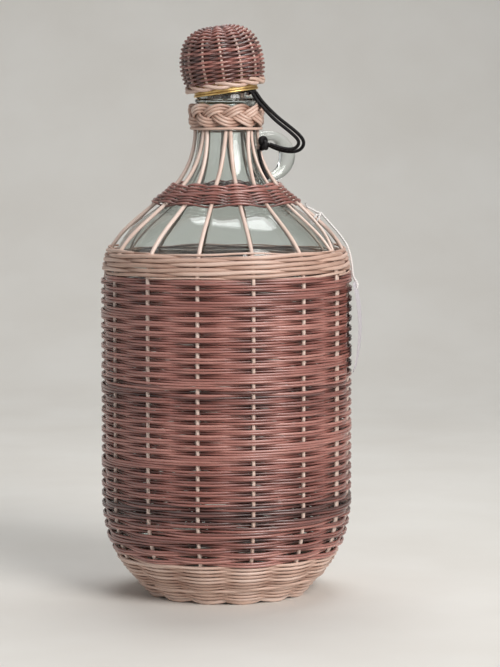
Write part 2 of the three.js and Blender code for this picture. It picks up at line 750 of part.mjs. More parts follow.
function makeTether() {
  const nooseR = FINISH_R + GAP + TETHER_R;
  const nooseZ = STEP_TOP + GAP + TETHER_R;
  const noose = new THREE.TorusGeometry(nooseR, TETHER_R, 8, 16).translate(0, 0, nooseZ);
  add('tether_noose', facingOut(bare(noose)), blackCord);
  const outerRoute = [
    [18.9, -6.6, 318.4],
    [21.4, -6.8, 314.6],
    [25.8, -6.4, 309.6],
    [32.4, -5.2, 303.2],
    [40.1, -3.4, 297.1],
    [46.1, -1.8, 292.0],
    [49.4, -0.6, 287.2],
    [47.6, 0.2, 282.9],
    [43.2, 0.4, 281.2],
    [37.0, 0.3, 281.6],
    [31.2, 0.2, 283.2],
    [27.4, 0.1, 285.0],
  ];
  const innerRoute = [
    [16.6, -10.6, 318.2],
    [19.0, -11.2, 314.2],
    [23.9, -11.3, 308.6],
    [30.4, -9.6, 301.8],
    [37.6, -7.4, 296.0],
    [43.0, -5.2, 291.4],
    [46.2, -3.6, 287.4],
    [44.6, -2.8, 283.9],
    [41.0, -2.6, 282.8],
    [36.0, -2.6, 283.4],
    [31.2, -2.6, 284.8],
    [27.4, -2.6, 286.2],
  ];
  const strandSteps = 13;
  add('tether_strand_a', tube(curveThrough(outerRoute), strandSteps, TETHER_R), blackCord);
  add('tether_strand_b', tube(curveThrough(innerRoute), strandSteps, TETHER_R), blackCord);
  const stake = stakes[TETHER_STAKE - 1];
  const knotR = TETHER_R + GAP;
  const knotZ = NECK_Z - TETHER_KNOT_DROP;
  add('tether_knot', hitch([stake, stakes[TETHER_STAKE]], knotZ, knotR, radians(TETHER_KNOT_END)), blackCord);
  const tail = [];
  for (let i = 0; i <= 4; i++) {
    const along = alongAtZ(THREE.MathUtils.lerp(knotZ - 2 * knotR, NECK_Z - TAIL_DROP, i / 4));
    const beside = stakeAt(stake, along);
    const { r, z } = onWall(along, 2 * GAP + TETHER_R);
    const aside = (STAKE_R + GAP + TETHER_R) / r;
    tail.push(place(r, beside.azimuth - aside, z));
  }
  add('tether_tail', tube(new THREE.CatmullRomCurve3(tail), 4, TETHER_R), blackCord);
}

function makeTag() {
  const azimuth = radians(STRING_AZIMUTH);
  const stringR = STRING_D / 2;
  const stake = stakes[STRING_STAKE - 1];
  const knotZ = COLLAR_Z - STRING_KNOT_DROP;
  const tagTop = BODY_TOP_Z - TAG_DROP;
  add('string_knot', hitch([stake], knotZ, stringR + GAP, QUARTER_TURN), whiteString);
  const clear = JACKET_T + GAP + stringR;
  const tagR = BODY_R + clear + GAP;
  const bow = (share) => tagR + 4 * TAG_BOW * share * (1 - share);
  const knot = framed(stakeAt(stake, alongAtZ(knotZ)));
  const route = [knot.at.clone().addScaledVector(knot.out, STAKE_R + 5 * GAP + 3 * stringR)];
  const shoulderLine = alongAtZ(SHOULDER_TOP_Z);
  const bodyLine = alongAtZ(BODY_TOP_Z);
  for (const along of [shoulderLine + WEAVER_T, (shoulderLine + bodyLine) / 2, bodyLine]) {
    const { r, z } = onWall(along, clear);
    route.push(place(r, azimuth, z));
  }
  // The string comes down in front of the card's top edge and in through its hole.
  const holeZ = tagTop - TAG_HOLE_DROP;
  const holeR = bow(TAG_HOLE_DROP / TAG_L) + TAG_T / 2;
  const infront = bow(0) + TAG_T + 2 * GAP + stringR;
  route.push(place(infront, azimuth, tagTop));
  route.push(place(infront + STRING_D, azimuth, (tagTop + holeZ) / 2));
  route.push(place(holeR, azimuth, holeZ));
  add('tag_string', tube(new THREE.CatmullRomCurve3(route, false, 'centripetal'), 16, stringR), whiteString);
  const outline = new THREE.Shape();
  const spans = 8;
  outline.moveTo(bow(0), tagTop);
  for (let i = 1; i <= spans; i++) {
    outline.lineTo(bow(i / spans), tagTop - (TAG_L * i) / spans);
  }
  for (let i = spans; i >= 0; i--) {
    outline.lineTo(bow(i / spans) + TAG_T, tagTop - (TAG_L * i) / spans);
  }
  const card = new THREE.ExtrudeGeometry(outline, { depth: TAG_W, bevelEnabled: false });
  card.translate(0, 0, -TAG_W / 2).rotateX(Math.PI / 2).rotateZ(azimuth - Math.PI / 2);
  const holeAt = place(holeR, azimuth, holeZ);
  const hole = new THREE.CylinderGeometry(TAG_HOLE_D / 2, TAG_HOLE_D / 2, TAG_W, 12);
  hole.rotateZ(Math.PI / 2).rotateZ(azimuth - Math.PI / 2).translate(holeAt.x, holeAt.y, holeAt.z);
  add('hang_tag', geometryOf(solid(card).subtract(solid(hole))), tagCard);
}

makeGlass();
makeSlath();
makeFoot();
makeStakes();
makeWeaves();
makeNeckWork();
makeCap();
makeCover();
makeTether();
makeTag();

export default model;
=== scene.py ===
"""Wicker-covered glass jug: its looks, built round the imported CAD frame.

Lengths are in millimetres until mesh_object turns them into metres. An azimuth runs from the front, which is
-Y, towards +X.
"""
from math import asin, atan2, ceil, copysign, cos, pi, radians, sin, sqrt

import bmesh
import bpy
import numpy as np
from mathutils import Matrix, Vector


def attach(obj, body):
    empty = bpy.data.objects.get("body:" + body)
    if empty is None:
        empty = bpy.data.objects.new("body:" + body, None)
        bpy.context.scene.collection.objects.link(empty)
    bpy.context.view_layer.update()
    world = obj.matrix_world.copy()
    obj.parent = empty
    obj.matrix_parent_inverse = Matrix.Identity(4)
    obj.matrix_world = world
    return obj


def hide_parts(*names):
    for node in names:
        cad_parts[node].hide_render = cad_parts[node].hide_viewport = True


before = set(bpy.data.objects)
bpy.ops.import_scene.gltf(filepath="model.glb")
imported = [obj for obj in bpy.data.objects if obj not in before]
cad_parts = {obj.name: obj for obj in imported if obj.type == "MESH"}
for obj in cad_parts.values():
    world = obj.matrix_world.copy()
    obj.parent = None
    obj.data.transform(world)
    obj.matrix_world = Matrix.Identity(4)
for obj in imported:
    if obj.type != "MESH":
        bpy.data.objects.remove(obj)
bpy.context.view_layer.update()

MM = 0.001
TAU = 2 * pi
rng = np.random.default_rng(seed=7)

# Sizes shared with the CAD source
GAP = 0.3
STAKE_R = 1.25
WEAVER_T = 1.5
POSTS = 14
DOUBLED = (2, 9)
THINNER = 0.8
FIRST_POST = 8
BODY_R = 73.2
GLASS_WALL = 3.0
HEEL_R = 40.0
HEEL_H = 54.0
SHOULDER_Z = 198.0
SHOULDER_H = 97.0
NECK_R = 18.2
NECK_L = 17.0
BEAD_R = 19.9
BEAD_H = 2.6
STEP_R = 18.6
STEP_H = 4.0
FINISH_R = 16.5
FINISH_H = 11.4
LIP_ROUND = 1.2
RING_AZIMUTH = radians(114)
RING_DROP = 0.6
RING_REACH = 47.5
RING_HALF_H = 16.4
RING_ROOT_R = 9.0
RING_HOLE = (24.0, 37.0, 20.0)
RING_THICK = 8.0
SLATH_R = 16.0
BASE_WEAVE_END_R = 42.0
BASE_BAND_START_R = 53.0
BASE_BAND_TOP_Z = 28.0
BODY_LAP = 4.0
SHOULDER_BAND_H = 17.0
COLLAR_H = 12.6
FOOT_H = 2.6
FOOT_R = 48.5
PLAIT_BIGHTS = 10
NECK_TWIST = radians(4)
NECK_RING_R = 0.9
CAP_TILT = radians(8)
CAP_PLAY = 0.9
RIM_CLEAR = 0.5
LIP_CLEAR = 0.5
CAP_SHEET = 0.6
CAP_CURL = 0.5
LINER_T = 1.2
COVER_POSTS = 13
COVER_STAKE_R = 0.9
COVER_WEAVER_HALF = 0.6
COVER_FOOT = 6.5
COVER_EASE = 0.15
COVER_SWELL = 4.9
COVER_BULGE_Z = 17.5
COVER_TOP_Z = 41.0
COVER_CROWN_R = 5.0
TETHER_R = 1.1
TETHER_STAKE = 3
STRING_R = 0.65
STRING_STAKE = 4
TAG_DROP = 3.0
TAG_L = 56.0
TAG_W = 34.0
TAG_T = 0.6
TAG_BOW = 3.6
TAG_HOLE_DROP = 4.5
TAG_HOLE_R = 2.0
STRING_AZIMUTH = radians(85)
STRING_KNOT_DROP = 9.0
TETHER_KNOT_DROP = 9.0
TAIL_DROP = 30.0

# Sizes that differ from the solids: a straighter shoulder, sagging stakes, a higher wale, a lower collar
SHOULDER_PULL = 56.5
NECK_PULL = 61.5
STAKE_SAG = 1.6
BODY_RISE = 3.4
WALE_RISE = 2.0
COLLAR_SETTLE = 1.2

PASS = STAKE_R + GAP + WEAVER_T / 2


def chord_dip(r, pass_by, posts):
    """How far a weaver that runs straight from post to post cuts inside its circle."""
    over = r + pass_by
    under = r - pass_by
    step = TAU / posts
    run = sqrt(over**2 + under**2 - 2 * over * under * cos(step))
    return max(0.0, under - over * under * sin(step) / run)


STAND_OFF = PASS + WEAVER_T / 2 + chord_dip(BODY_R + PASS, PASS, POSTS) + GAP
JACKET_T = STAND_OFF + PASS + WEAVER_T / 2
BASE_Z = FOOT_H + GAP + STAKE_R + STAND_OFF
NECK_Z = SHOULDER_Z + SHOULDER_H
BEAD_Z = NECK_Z + NECK_L
BEAD_TOP = BEAD_Z + BEAD_H
STEP_TOP = BEAD_TOP + STEP_H
MOUTH_Z = STEP_TOP + FINISH_H
RING_Z = NECK_Z - RING_DROP - RING_HALF_H
BODY_TOP_Z = SHOULDER_Z + BODY_LAP
SHOULDER_TOP_Z = BODY_TOP_Z + SHOULDER_BAND_H
COLLAR_TOP_Z = RING_Z - RING_HALF_H
COLLAR_Z = COLLAR_TOP_Z - COLLAR_H
CAP_INSIDE_R = STEP_R + CAP_PLAY
CAP_R = CAP_INSIDE_R + CAP_SHEET
CAP_RIM_Z = BEAD_TOP + RIM_CLEAR + (CAP_R + CAP_CURL) * sin(CAP_TILT)
LIP_OVER_RIM = (MOUTH_Z - CAP_RIM_Z) * cos(CAP_TILT) + (FINISH_R - LIP_ROUND) * sin(CAP_TILT)
LINER_SEAT = LIP_OVER_RIM + LIP_CLEAR
COVER_BULGE = (CAP_R + COVER_SWELL, COVER_BULGE_Z)
TAG_TOP_Z = BODY_TOP_Z - TAG_DROP
STRING_KNOT_Z = COLLAR_Z - STRING_KNOT_DROP
TETHER_KNOT_Z = NECK_Z - TETHER_KNOT_DROP
TAIL_END_Z = NECK_Z - TAIL_DROP


# Vectors along paths
def unit(vectors):
    return vectors / np.linalg.norm(vectors, axis=1, keepdims=True)


def distances(path):
    """How far along a path each of its points is."""
    step = np.linalg.norm(np.diff(path, axis=0), axis=1)
    return np.concatenate([[0], np.cumsum(step)])


def directions(path, closed=False):
    if closed:
        return unit(np.roll(path, -1, axis=0) - np.roll(path, 1, axis=0))
    return unit(np.gradient(path, axis=0))


# Curves in the half-plane of radius and height
HALVINGS = 40


class Outline:
    """A dense line, on which a place is found by how far along it is."""

    def __init__(self, points):
        self.p = np.array(points, float)
        self.s = distances(self.p)
        self.length = self.s[-1]
        self.t = unit(np.gradient(self.p, self.s, axis=0))

    def at(self, s, off=0.0):
        """Radius and height at a distance off the line, and the line's own direction there."""
        r, z, tr, tz = (np.interp(s, self.s, column) for column in (*self.p.T, *self.t.T))
        return r + tz * off, z - tr * off, tr, tz

    def find(self, axis, value, off):
        """How far along the line its radius, axis 0, or its height, axis 1, comes to a value."""
        low = 0.0
        high = self.length
        for _ in range(HALVINGS):
            mid = (low + high) / 2
            if self.at(mid, off)[axis] >= value:
                high = mid
            else:
                low = mid
        return high


def shares(n):
    """Even steps from 0 to 1, as a column."""
    return np.linspace(0, 1, n)[:, None]


def bezier(a, b, c, d, n):
    t = shares(n)
    a, b, c, d = (np.array(x, float) for x in (a, b, c, d))
    return a * (1 - t) ** 3 + 3 * b * t * (1 - t) ** 2 + 3 * c * t**2 * (1 - t) + d * t**3


def straight(a, b, n):
    t = shares(n)
    return np.array(a, float) * (1 - t) + np.array(b, float) * t


def joined(*runs):
    return np.vstack([runs[0][:1], *(run[1:] for run in runs)])


heel_turn = np.linspace(-pi / 2, 0, num=80)
heel_r = HEEL_R + (BODY_R - HEEL_R) * np.cos(heel_turn)
heel_z = BASE_Z + HEEL_H + HEEL_H * np.sin(heel_turn)
HEEL = np.stack([heel_r, heel_z], axis=1)
UPRIGHT = straight(HEEL[-1], (BODY_R, SHOULDER_Z), n=60)
SHOULDER = bezier(
    (BODY_R, SHOULDER_Z), (BODY_R, SHOULDER_Z + SHOULDER_PULL),
    (NECK_R, NECK_Z - NECK_PULL), (NECK_R, NECK_Z), n=140,
)
UNDERSIDE = straight((SLATH_R, BASE_Z), (HEEL_R, BASE_Z), n=40)
wall = Outline(joined(UNDERSIDE, HEEL, UPRIGHT, SHOULDER))


def along_z(z):
    return wall.find(1, z, STAND_OFF)


def along_r(r):
    return wall.find(0, r, STAND_OFF)


SHOULDER_TOP = along_z(SHOULDER_TOP_Z)
COLLAR = along_z(COLLAR_Z)
COLLAR_END = along_z(COLLAR_TOP_Z)
BASE_WEAVE_START = along_r(SLATH_R + 2 * STAKE_R)
BASE_WEAVE_END = along_r(BASE_WEAVE_END_R)
BAND_START = along_r(BASE_BAND_START_R)
BAND_END = along_z(BASE_BAND_TOP_Z)
BODY_END = along_z(BODY_TOP_Z)


def smoothstep(x, a, b):
    t = np.clip((x - a) / (b - a), 0, 1)
    return t * t * (3 - 2 * t)


def spot(r, az, z):
    """Points in space."""
    r, az, z = np.broadcast_arrays(r, az, z)
    return np.stack([r * np.sin(az), -r * np.cos(az), z], axis=-1)


def outward(az, tr=0.0, tz=1.0):
    """Direction off a surface of that slope, upright if none is given."""
    az, tr, tz = np.broadcast_arrays(az, tr, tz)
    return np.stack([np.sin(az) * tz, -np.cos(az) * tz, -tr], axis=-1)


def full_turn(n):
    return np.linspace(0, TAU, n, endpoint=False)


# Places of the stakes
stakes = []
thin = STAKE_R * THINNER
for post in range(POSTS):
    for side in (-1, 1) if post in DOUBLED else (0,):
        stakes.append({
            "post": TAU * (post + 0.5) / POSTS, "aside": side * (thin + GAP / 2),
            "r": thin if side else STAKE_R, "added": side > 0,
        })
SPREAD = TAU / len(stakes)
NECK_STAKE_R = NECK_R + GAP + STAKE_R
PAIR_SIDE = (STAKE_R + GAP / 2) / NECK_STAKE_R
RING_SIDE = asin((RING_THICK / 2 + GAP + STAKE_R) / NECK_STAKE_R) + PAIR_SIDE
for i, stake in enumerate(stakes):
    stake["collar"] = SPREAD * (i + 0.5)
    pair = SPREAD * 2 * ((i + 1) // 2) + NECK_TWIST
    aside = pair - RING_AZIMUTH
    if abs(aside) < RING_SIDE:
        pair = RING_AZIMUTH + copysign(RING_SIDE, aside)
    stake["neck"] = pair + (-PAIR_SIDE if i % 2 else PAIR_SIDE)


def stake_line(stake, s):
    """Points, outward directions and azimuths of a stake at those distances along the wall."""
    up = smoothstep(s, COLLAR_END, wall.length)
    spread = np.clip((s - SHOULDER_TOP) / (COLLAR - SHOULDER_TOP), 0, 1)
    off = STAND_OFF + (GAP + STAKE_R - STAND_OFF) * up - STAKE_SAG * np.sin(pi * spread)
    r, z, tr, tz = wall.at(s, off)
    parted = np.clip((s - BASE_WEAVE_END) / (BAND_START - BASE_WEAVE_END), 0, 1)
    body = stake["post"] + np.arcsin(stake["aside"] * parted / r)
    paired = np.clip((s - COLLAR_END) / (wall.length - COLLAR_END), 0, 1)
    az = body + (stake["collar"] - body) * spread
    az = az + (stake["neck"] - az) * paired
    return spot(r, az, z), outward(az, tr, tz), az


# Mesh building
ON_AXIS = 1e-6


def mesh_object(name, verts, faces, uvs=None, tone=None, place=None):
    """A smooth mesh in metres, with a rod's own coordinates and tones where they are given."""
    verts = np.asarray(verts, float)
    if place is not None:
        turn = np.array(place.to_3x3())
        verts = verts @ turn.T + np.array(place.translation) / MM
    mesh = bpy.data.meshes.new(name)
    mesh.from_pydata(verts * MM, [], faces)
    mesh.polygons.foreach_set("use_smooth", np.ones(len(faces), bool))
    if uvs is not None:
        layer = mesh.uv_layers.new(name="along")
        corners = [i for face in faces for i in face]
        layer.data.foreach_set("uv", np.asarray(uvs, np.float32)[corners].reshape(-1))
    if tone is not None:
        attribute = mesh.attributes.new("tone", "FLOAT", "POINT")
        attribute.data.foreach_set("value", np.asarray(tone, np.float32))
    mesh.update(calc_edges=True)
    mesh.validate()
    obj = bpy.data.objects.new(name, mesh)
    bpy.context.scene.collection.objects.link(obj)
    return obj


def grid(rows, columns, closed=False, wound=False):
    """Quads between rows of points. The rows may close up as a whole, and each row may wind round."""
    i = np.arange(rows if closed else rows - 1)[:, None]
    k = np.arange(columns if wound else columns - 1)
    ahead = (i + 1) % rows * columns
    beside = (k + 1) % columns
    corners = [i * columns + k, ahead + k, ahead + beside, i * columns + beside]
    return np.stack(corners, axis=-1).reshape(-1, 4)


def tube_mesh(path, normal, radius, sides=10, closed=False, flat=1.0, tone=0.5):
    """Vertices, faces, end faces, uvs and tones of a rod along path. flat squeezes it along the normal."""
    n = len(path)
    along = directions(path, closed)
    side = unit(np.cross(along, normal))
    out = np.cross(side, along)
    radius = np.broadcast_to(radius, n)
    turn = TAU * np.arange(sides) / sides
    rings = path[:, None, :] + radius[:, None, None] * (
        flat * np.cos(turn)[None, :, None] * out[:, None, :] + np.sin(turn)[None, :, None] * side[:, None, :]
    )
    uvs = np.stack([np.repeat(distances(path) * MM, sides), np.tile(turn / TAU, n)], axis=-1)
    tones = np.repeat(np.broadcast_to(tone, n), sides)
    caps = [] if closed else [list(range(sides)), list(range((n - 1) * sides, n * sides))[::-1]]
    return rings.reshape(-1, 3), grid(n, sides, closed, True), caps, uvs, tones


def rod_round(r, az, z, radius, tr=0.0, tz=1.0, **how):
    """A rod through points round the axis, facing off a surface of that slope."""
    return tube_mesh(spot(r, az, z), outward(az, tr, tz), radius, **how)


def lathe_mesh(profile, segments):
    """Turns a profile of (r, z) about Z. A point on the axis becomes one vertex."""
    turn = [TAU * k / segments for k in range(segments)]
    verts = []
    rows = []
    for r, z in profile:
        if r < ON_AXIS:
            rows.append([len(verts)] * segments)
            verts.append((0, 0, z))
        else:
            rows.append(list(range(len(verts), len(verts) + segments)))
            verts += [(r * cos(a), r * sin(a), z) for a in turn]
    faces = []
    for low, high in zip(rows, rows[1:]):
        for k in range(segments):
            m = (k + 1) % segments
            face = [low[k], low[m], high[m], high[k]]
            clean = list(dict.fromkeys(face))
            if len(clean) > 2:
                faces.append(clean)
    return np.array(verts, float), faces


def turned(name, profile, segments, place=None):
    verts, faces = lathe_mesh(profile, segments)
    obj = mesh_object(name, verts, faces, place=place)
    fix_normals(obj)
    return obj


def lifted(level, points):
    """Profile points whose heights are given from a level."""
    return [(r, level + z) for r, z in points]


def fix_normals(obj):
    bm = bmesh.new()
    bm.from_mesh(obj.data)
    bmesh.ops.recalc_face_normals(bm, faces=bm.faces)
    bm.to_mesh(obj.data)
    bm.free()


def boolean(obj, other, operation):
    """Cuts the other object out of this one, or joins it on, and takes it away."""
    modifier = obj.modifiers.new("cut", "BOOLEAN")
    modifier.operation = operation
    modifier.object = other
    modifier.solver = "EXACT"
    bpy.context.view_layer.update()
    shape = bpy.data.meshes.new_from_object(obj.evaluated_get(bpy.context.evaluated_depsgraph_get()))
    obj.modifiers.remove(modifier)
    bpy.data.objects.remove(other)
    obj.data = shape
    for polygon in shape.polygons:
        polygon.use_smooth = True


# Materials
def screen(*colour):
    """A colour as a screen writes it, from 0 to 255, in the renderer's own scale."""
    c = np.array(colour) / 255
    return (*np.where(c <= 0.04045, c / 12.92, ((c + 0.055) / 1.055) ** 2.4), 1.0)


class Nodes:
    """A node tree with short ways to add nodes."""

    def __init__(self, tree):
        self.nodes = tree.nodes
        self.join = tree.links.new

    def node(self, kind, **values):
        n = self.nodes.new(kind)
        for key, value in values.items():
            if hasattr(n, key):
                setattr(n, key, value)
            else:
                n.inputs[key].default_value = value
        return n

    def math(self, operation, *terms):
        n = self.node("ShaderNodeMath", operation=operation)
        for term, into in zip(terms, n.inputs):
            if isinstance(term, bpy.types.NodeSocket):
                self.join(term, into)
            else:
                into.default_value = term
        return n.outputs["Value"]


class Look(Nodes):
    """A material, with the values that its shader starts from."""

    def __init__(self, name, **values):
        self.mat = bpy.data.materials.new(name)
        self.mat.use_nodes = True
        super().__init__(self.mat.node_tree)
        self.shader = next(n for n in self.nodes if n.type == "BSDF_PRINCIPLED")
        for key, value in values.items():
            self.shader.inputs[key.replace("_", " ")].default_value = value

    def along(self, scale_along, scale_round):
        """A rod's own coordinates, stretched."""
        uv = self.node("ShaderNodeUVMap", uv_map="along")
        mapping = self.node("ShaderNodeMapping", Scale=(scale_along, scale_round, 1.0))
        self.join(uv.outputs["UV"], mapping.inputs["Vector"])
        return mapping.outputs["Vector"]

    def over_object(self):
        return self.node("ShaderNodeTexCoord").outputs["Object"]

    def noise(self, scale, detail, roughness, where=None):
        n = self.node("ShaderNodeTexNoise", Scale=scale, Detail=detail, Roughness=roughness)
        self.join(self.over_object() if where is None else where, n.inputs["Vector"])
        return n.outputs["Fac"]

    def ramp(self, name, source, *stops):
        """Gives a socket of the shader a colour, or a grey, that goes with the source."""
        n = self.node("ShaderNodeValToRGB")
        elements = n.color_ramp.elements
        while len(elements) < len(stops):
            elements.new(0.5)
        for element, (at, colour) in zip(elements, stops):
            element.position = at
            element.color = screen(*colour) if isinstance(colour, tuple) else (colour, colour, colour, 1.0)
        self.join(source, n.inputs["Fac"])
        self.join(n.outputs["Color"], self.shader.inputs[name])

    def bump(self, source, strength, distance):
        n = self.node("ShaderNodeBump", Strength=strength, Distance=distance)
        self.join(source, n.inputs["Height"])
        self.join(n.outputs["Normal"], self.shader.inputs["Normal"])


def reed_look(name, dark, mid, light, roughness, varnish):
    """Round reed: a tone for each rod, streaks along it, blotches, and a fine grain."""
    look = Look(name, Coat_Weight=varnish, Coat_Roughness=0.25, Specular_IOR_Level=0.8)
    tone = look.node("ShaderNodeAttribute", attribute_name="tone").outputs["Fac"]
    streak = look.noise(scale=3.0, detail=4.0, roughness=0.6, where=look.along(14.0, 9.0))
    blotch = look.noise(scale=55.0, detail=3.0, roughness=0.55)
    streaked = look.math("MULTIPLY_ADD", streak, 0.55, tone)
    blotched = look.math("MULTIPLY_ADD", blotch, 0.45, streaked)
    level = look.math("SUBTRACT", blotched, 0.5)
    look.ramp("Base Color", level, (0.0, dark), (0.5, mid), (1.0, light))
    grain = look.noise(scale=4.0, detail=3.0, roughness=0.6, where=look.along(30.0, 26.0))
    look.bump(grain, strength=0.12, distance=0.0004)
    look.ramp("Roughness", streak, (0.3, roughness - 0.08), (0.7, roughness + 0.12))
    return look.mat


def glass_look():
    clear = {"Base_Color": (0.84, 0.88, 0.86, 1), "Roughness": 0.015, "IOR": 1.48, "Transmission_Weight": 1.0}
    look = Look("clear_glass_look", **clear)
    look.bump(look.noise(scale=14.0, detail=2.0, roughness=0.5), strength=0.12, distance=0.004)
    return look.mat


def tin_look():
    look = Look("gold_tin_look", Metallic=1.0)
    mottle = look.noise(scale=160.0, detail=4.0, roughness=0.6)
    look.ramp("Base Color", mottle, (0.3, (206, 168, 98)), (0.7, (236, 206, 142)))
    look.ramp("Roughness", mottle, (0.3, 0.24), (0.75, 0.42))
    look.bump(mottle, strength=0.05, distance=0.0003)
    return look.mat


def cord_look(name, dark, light, roughness, twists, depth, gloss):
    """Twisted cord: slanting strands from the length and the way round, with some fuzz."""
    look = Look(name, Roughness=roughness, Specular_IOR_Level=gloss)
    split = look.node("ShaderNodeSeparateXYZ")
    look.join(look.along(twists, 2.0), split.inputs["Vector"])
    cycle = look.math("MULTIPLY", look.math("ADD", split.outputs["X"], split.outputs["Y"]), TAU)
    strands = look.math("MULTIPLY_ADD", look.math("SINE", cycle), 0.5, 0.5)
    fuzz = look.noise(scale=900.0, detail=3.0, roughness=0.6)
    mixed = look.math("MULTIPLY_ADD", fuzz, 0.5, strands)
    look.ramp("Base Color", mixed, (0.2, dark), (1.0, light))
    look.bump(mixed, strength=0.6, distance=depth)
    return look.mat


def card_look():
    look = Look("tag_card_look", Roughness=0.62)
    fibre = look.noise(scale=700.0, detail=5.0, roughness=0.65)
    look.ramp("Base Color", fibre, (0.35, (192, 187, 193)), (0.7, (210, 206, 210)))
    look.bump(fibre, strength=0.15, distance=0.0002)
    return look.mat


def foam_look():
    look = Look("liner_foam_look", Roughness=0.75)
    voronoi = look.node("ShaderNodeTexVoronoi", Scale=1400.0)
    look.join(look.over_object(), voronoi.inputs["Vector"])
    cells = voronoi.outputs["Distance"]
    look.ramp("Base Color", cells, (0.0, (214, 208, 196)), (0.6, (236, 232, 222)))
    look.bump(cells, strength=0.2, distance=0.0002)
    return look.mat


def floor_look():
    look = Look("floor_look", Roughness=0.7)
    cloud = look.noise(scale=9.0, detail=3.0, roughness=0.5)
    look.ramp("Base Color", cloud, (0.3, (222, 219, 213)), (0.7, (228, 226, 221)))
    return look.mat


# The look of each material slot
LOOKS = {
    "pale_reed": reed_look(
        "pale_reed_look", (152, 113, 95), (207, 174, 157), (236, 214, 202),
        roughness=0.42, varnish=0.15,
    ),
    "brown_reed": reed_look(
        "brown_reed_look", (66, 31, 25), (144, 87, 77), (204, 147, 135),
        roughness=0.33, varnish=0.5,
    ),
    "glass": glass_look(),
    "gold_tin": tin_look(),
    "black_cord": cord_look(
        "black_cord_look", (6, 5, 6), (18, 15, 17),
        roughness=0.5, twists=420.0, depth=0.0002, gloss=0.22,
    ),
    "white_string": cord_look(
        "white_string_look", (206, 201, 199), (242, 239, 237),
        roughness=0.8, twists=620.0, depth=0.0001, gloss=0.4,
    ),
    "card": card_look(),
    "liner": foam_look(),
}


cap_place = Matrix.Translation(Vector((0, 0, CAP_RIM_Z * MM))) @ Matrix.Rotation(-CAP_TILT, 4, "Y")


def finish_piece(obj, slot, node, body="jug"):
    obj.data.materials.clear()
    obj.data.materials.append(LOOKS[slot])
    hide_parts(node)
    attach(obj, body)
    return obj


def rods(name, runs, node, slot="pale_reed", body="jug"):
    """A piece of many rods, tilted with the cap if it rides on it. Each run is what tube_mesh gives."""
    faces = []
    base = 0
    for verts, quads, caps, _, _ in runs:
        faces += (quads + base).tolist()
        faces += [[k + base for k in cap] for cap in caps]
        base += len(verts)
    verts, uvs, tones = (np.concatenate([run[part] for run in runs]) for part in (0, 3, 4))
    place = cap_place if body == "cap" else None
    return finish_piece(mesh_object(name, verts, faces, uvs, tones, place), slot, node, body)


# Glass jug
THREAD_H = 0.9
THREAD_HALF_W = 1.0
THREAD_PITCH = 3.2
THREAD_TURNS = 1.6
THREAD_FADE = 0.1
THREAD_ROW = 0.35
THREAD_Z = STEP_TOP + 3.6
ON_FINISH = 0.01
RING_POINTS = 96
RING_SIDES = 20
RING_BOXY = 0.8
RING_SINK = 1.5
RING_CUT_Z = BASE_Z + 20


def refine(points, step):
    """The same line in even steps of about that length."""
    line = Outline(points)
    r, z, _, _ = line.at(np.linspace(0, line.length, round(line.length / step)))
    return list(zip(r, z))


def make_glass():
    """The turned jug, outside and then inside, with rounded edges at bead, step and lip."""
    bore = FINISH_R - GLASS_WALL
    floor_z = BASE_Z + GLASS_WALL
    side = refine(joined(HEEL, UPRIGHT, SHOULDER), step=5.0)
    outer = lifted(BASE_Z, [(0.0, 3.0), (HEEL_R - 14, 2.2), (HEEL_R - 6, 0.6), (HEEL_R - 2, 0.0)])
    outer += side
    outer += lifted(BEAD_Z, [(NECK_R, -1.6), (NECK_R + 0.35, -0.5), (BEAD_R - 0.5, 0.2), (BEAD_R, 0.9)])
    outer += lifted(BEAD_TOP, [(BEAD_R, -0.9), (BEAD_R - 0.4, -0.3), (STEP_R + 0.2, 0.0), (STEP_R, 0.4)])
    outer += lifted(STEP_TOP, [(STEP_R, -0.5), (STEP_R - 0.5, 0.0), (FINISH_R + 0.3, 0.0), (FINISH_R, 0.4)])
    outer += [(FINISH_R, z) for z in np.arange(STEP_TOP + 0.8, MOUTH_Z - 1.4, THREAD_ROW)]
    outer += lifted(MOUTH_Z, [(FINISH_R, -1.2), (FINISH_R - 0.35, -0.35), (FINISH_R - 1.2, 0.0)])
    line = Outline(side)
    r, z, _, _ = line.at(np.linspace(0, line.length - 6, num=70), -GLASS_WALL)
    inner = lifted(floor_z, [(0.0, 4.5), (HEEL_R - 10, 1.8)])
    inner += [(a, b) for a, b in zip(r, z) if a > bore + 0.6 and b > floor_z]
    inner += lifted(NECK_Z, [(bore + 0.3, 3), (bore, 8)])
    inner += lifted(MOUTH_Z, [(bore, -1.0), (bore + 0.5, -0.2), (bore + 1.1, 0.0)])
    verts, faces = lathe_mesh(outer + inner[::-1], segments=128)
    jug = mesh_object("jug_glass", with_thread(verts), faces)
    fix_normals(jug)
    add_finger_ring(jug)
    finish_piece(jug, "glass", "glass_jug")


def with_thread(verts):
    """Raises the screw thread that winds up the finish, fading at both its ends."""
    r = np.hypot(verts[:, 0], verts[:, 1])
    turn = np.arctan2(verts[:, 1], verts[:, 0]) / TAU % 1.0
    raised = np.zeros(len(verts))
    for whole in range(ceil(THREAD_TURNS)):
        wound = turn + whole
        away = (verts[:, 2] - THREAD_Z - THREAD_PITCH * wound) / THREAD_HALF_W
        fade = smoothstep(wound, 0.0, THREAD_FADE) * smoothstep(THREAD_TURNS - wound, 0.0, THREAD_FADE)
        raised = np.maximum(raised, np.clip(1 - away**2, 0, 1) * fade)
    on_finish = (np.abs(r - FINISH_R) < ON_FINISH) & (verts[:, 2] > STEP_TOP)
    grown = np.where(on_finish, 1 + THREAD_H * raised / FINISH_R, 1.0)
    return verts * np.stack([grown, grown, np.ones(len(verts))], axis=1)


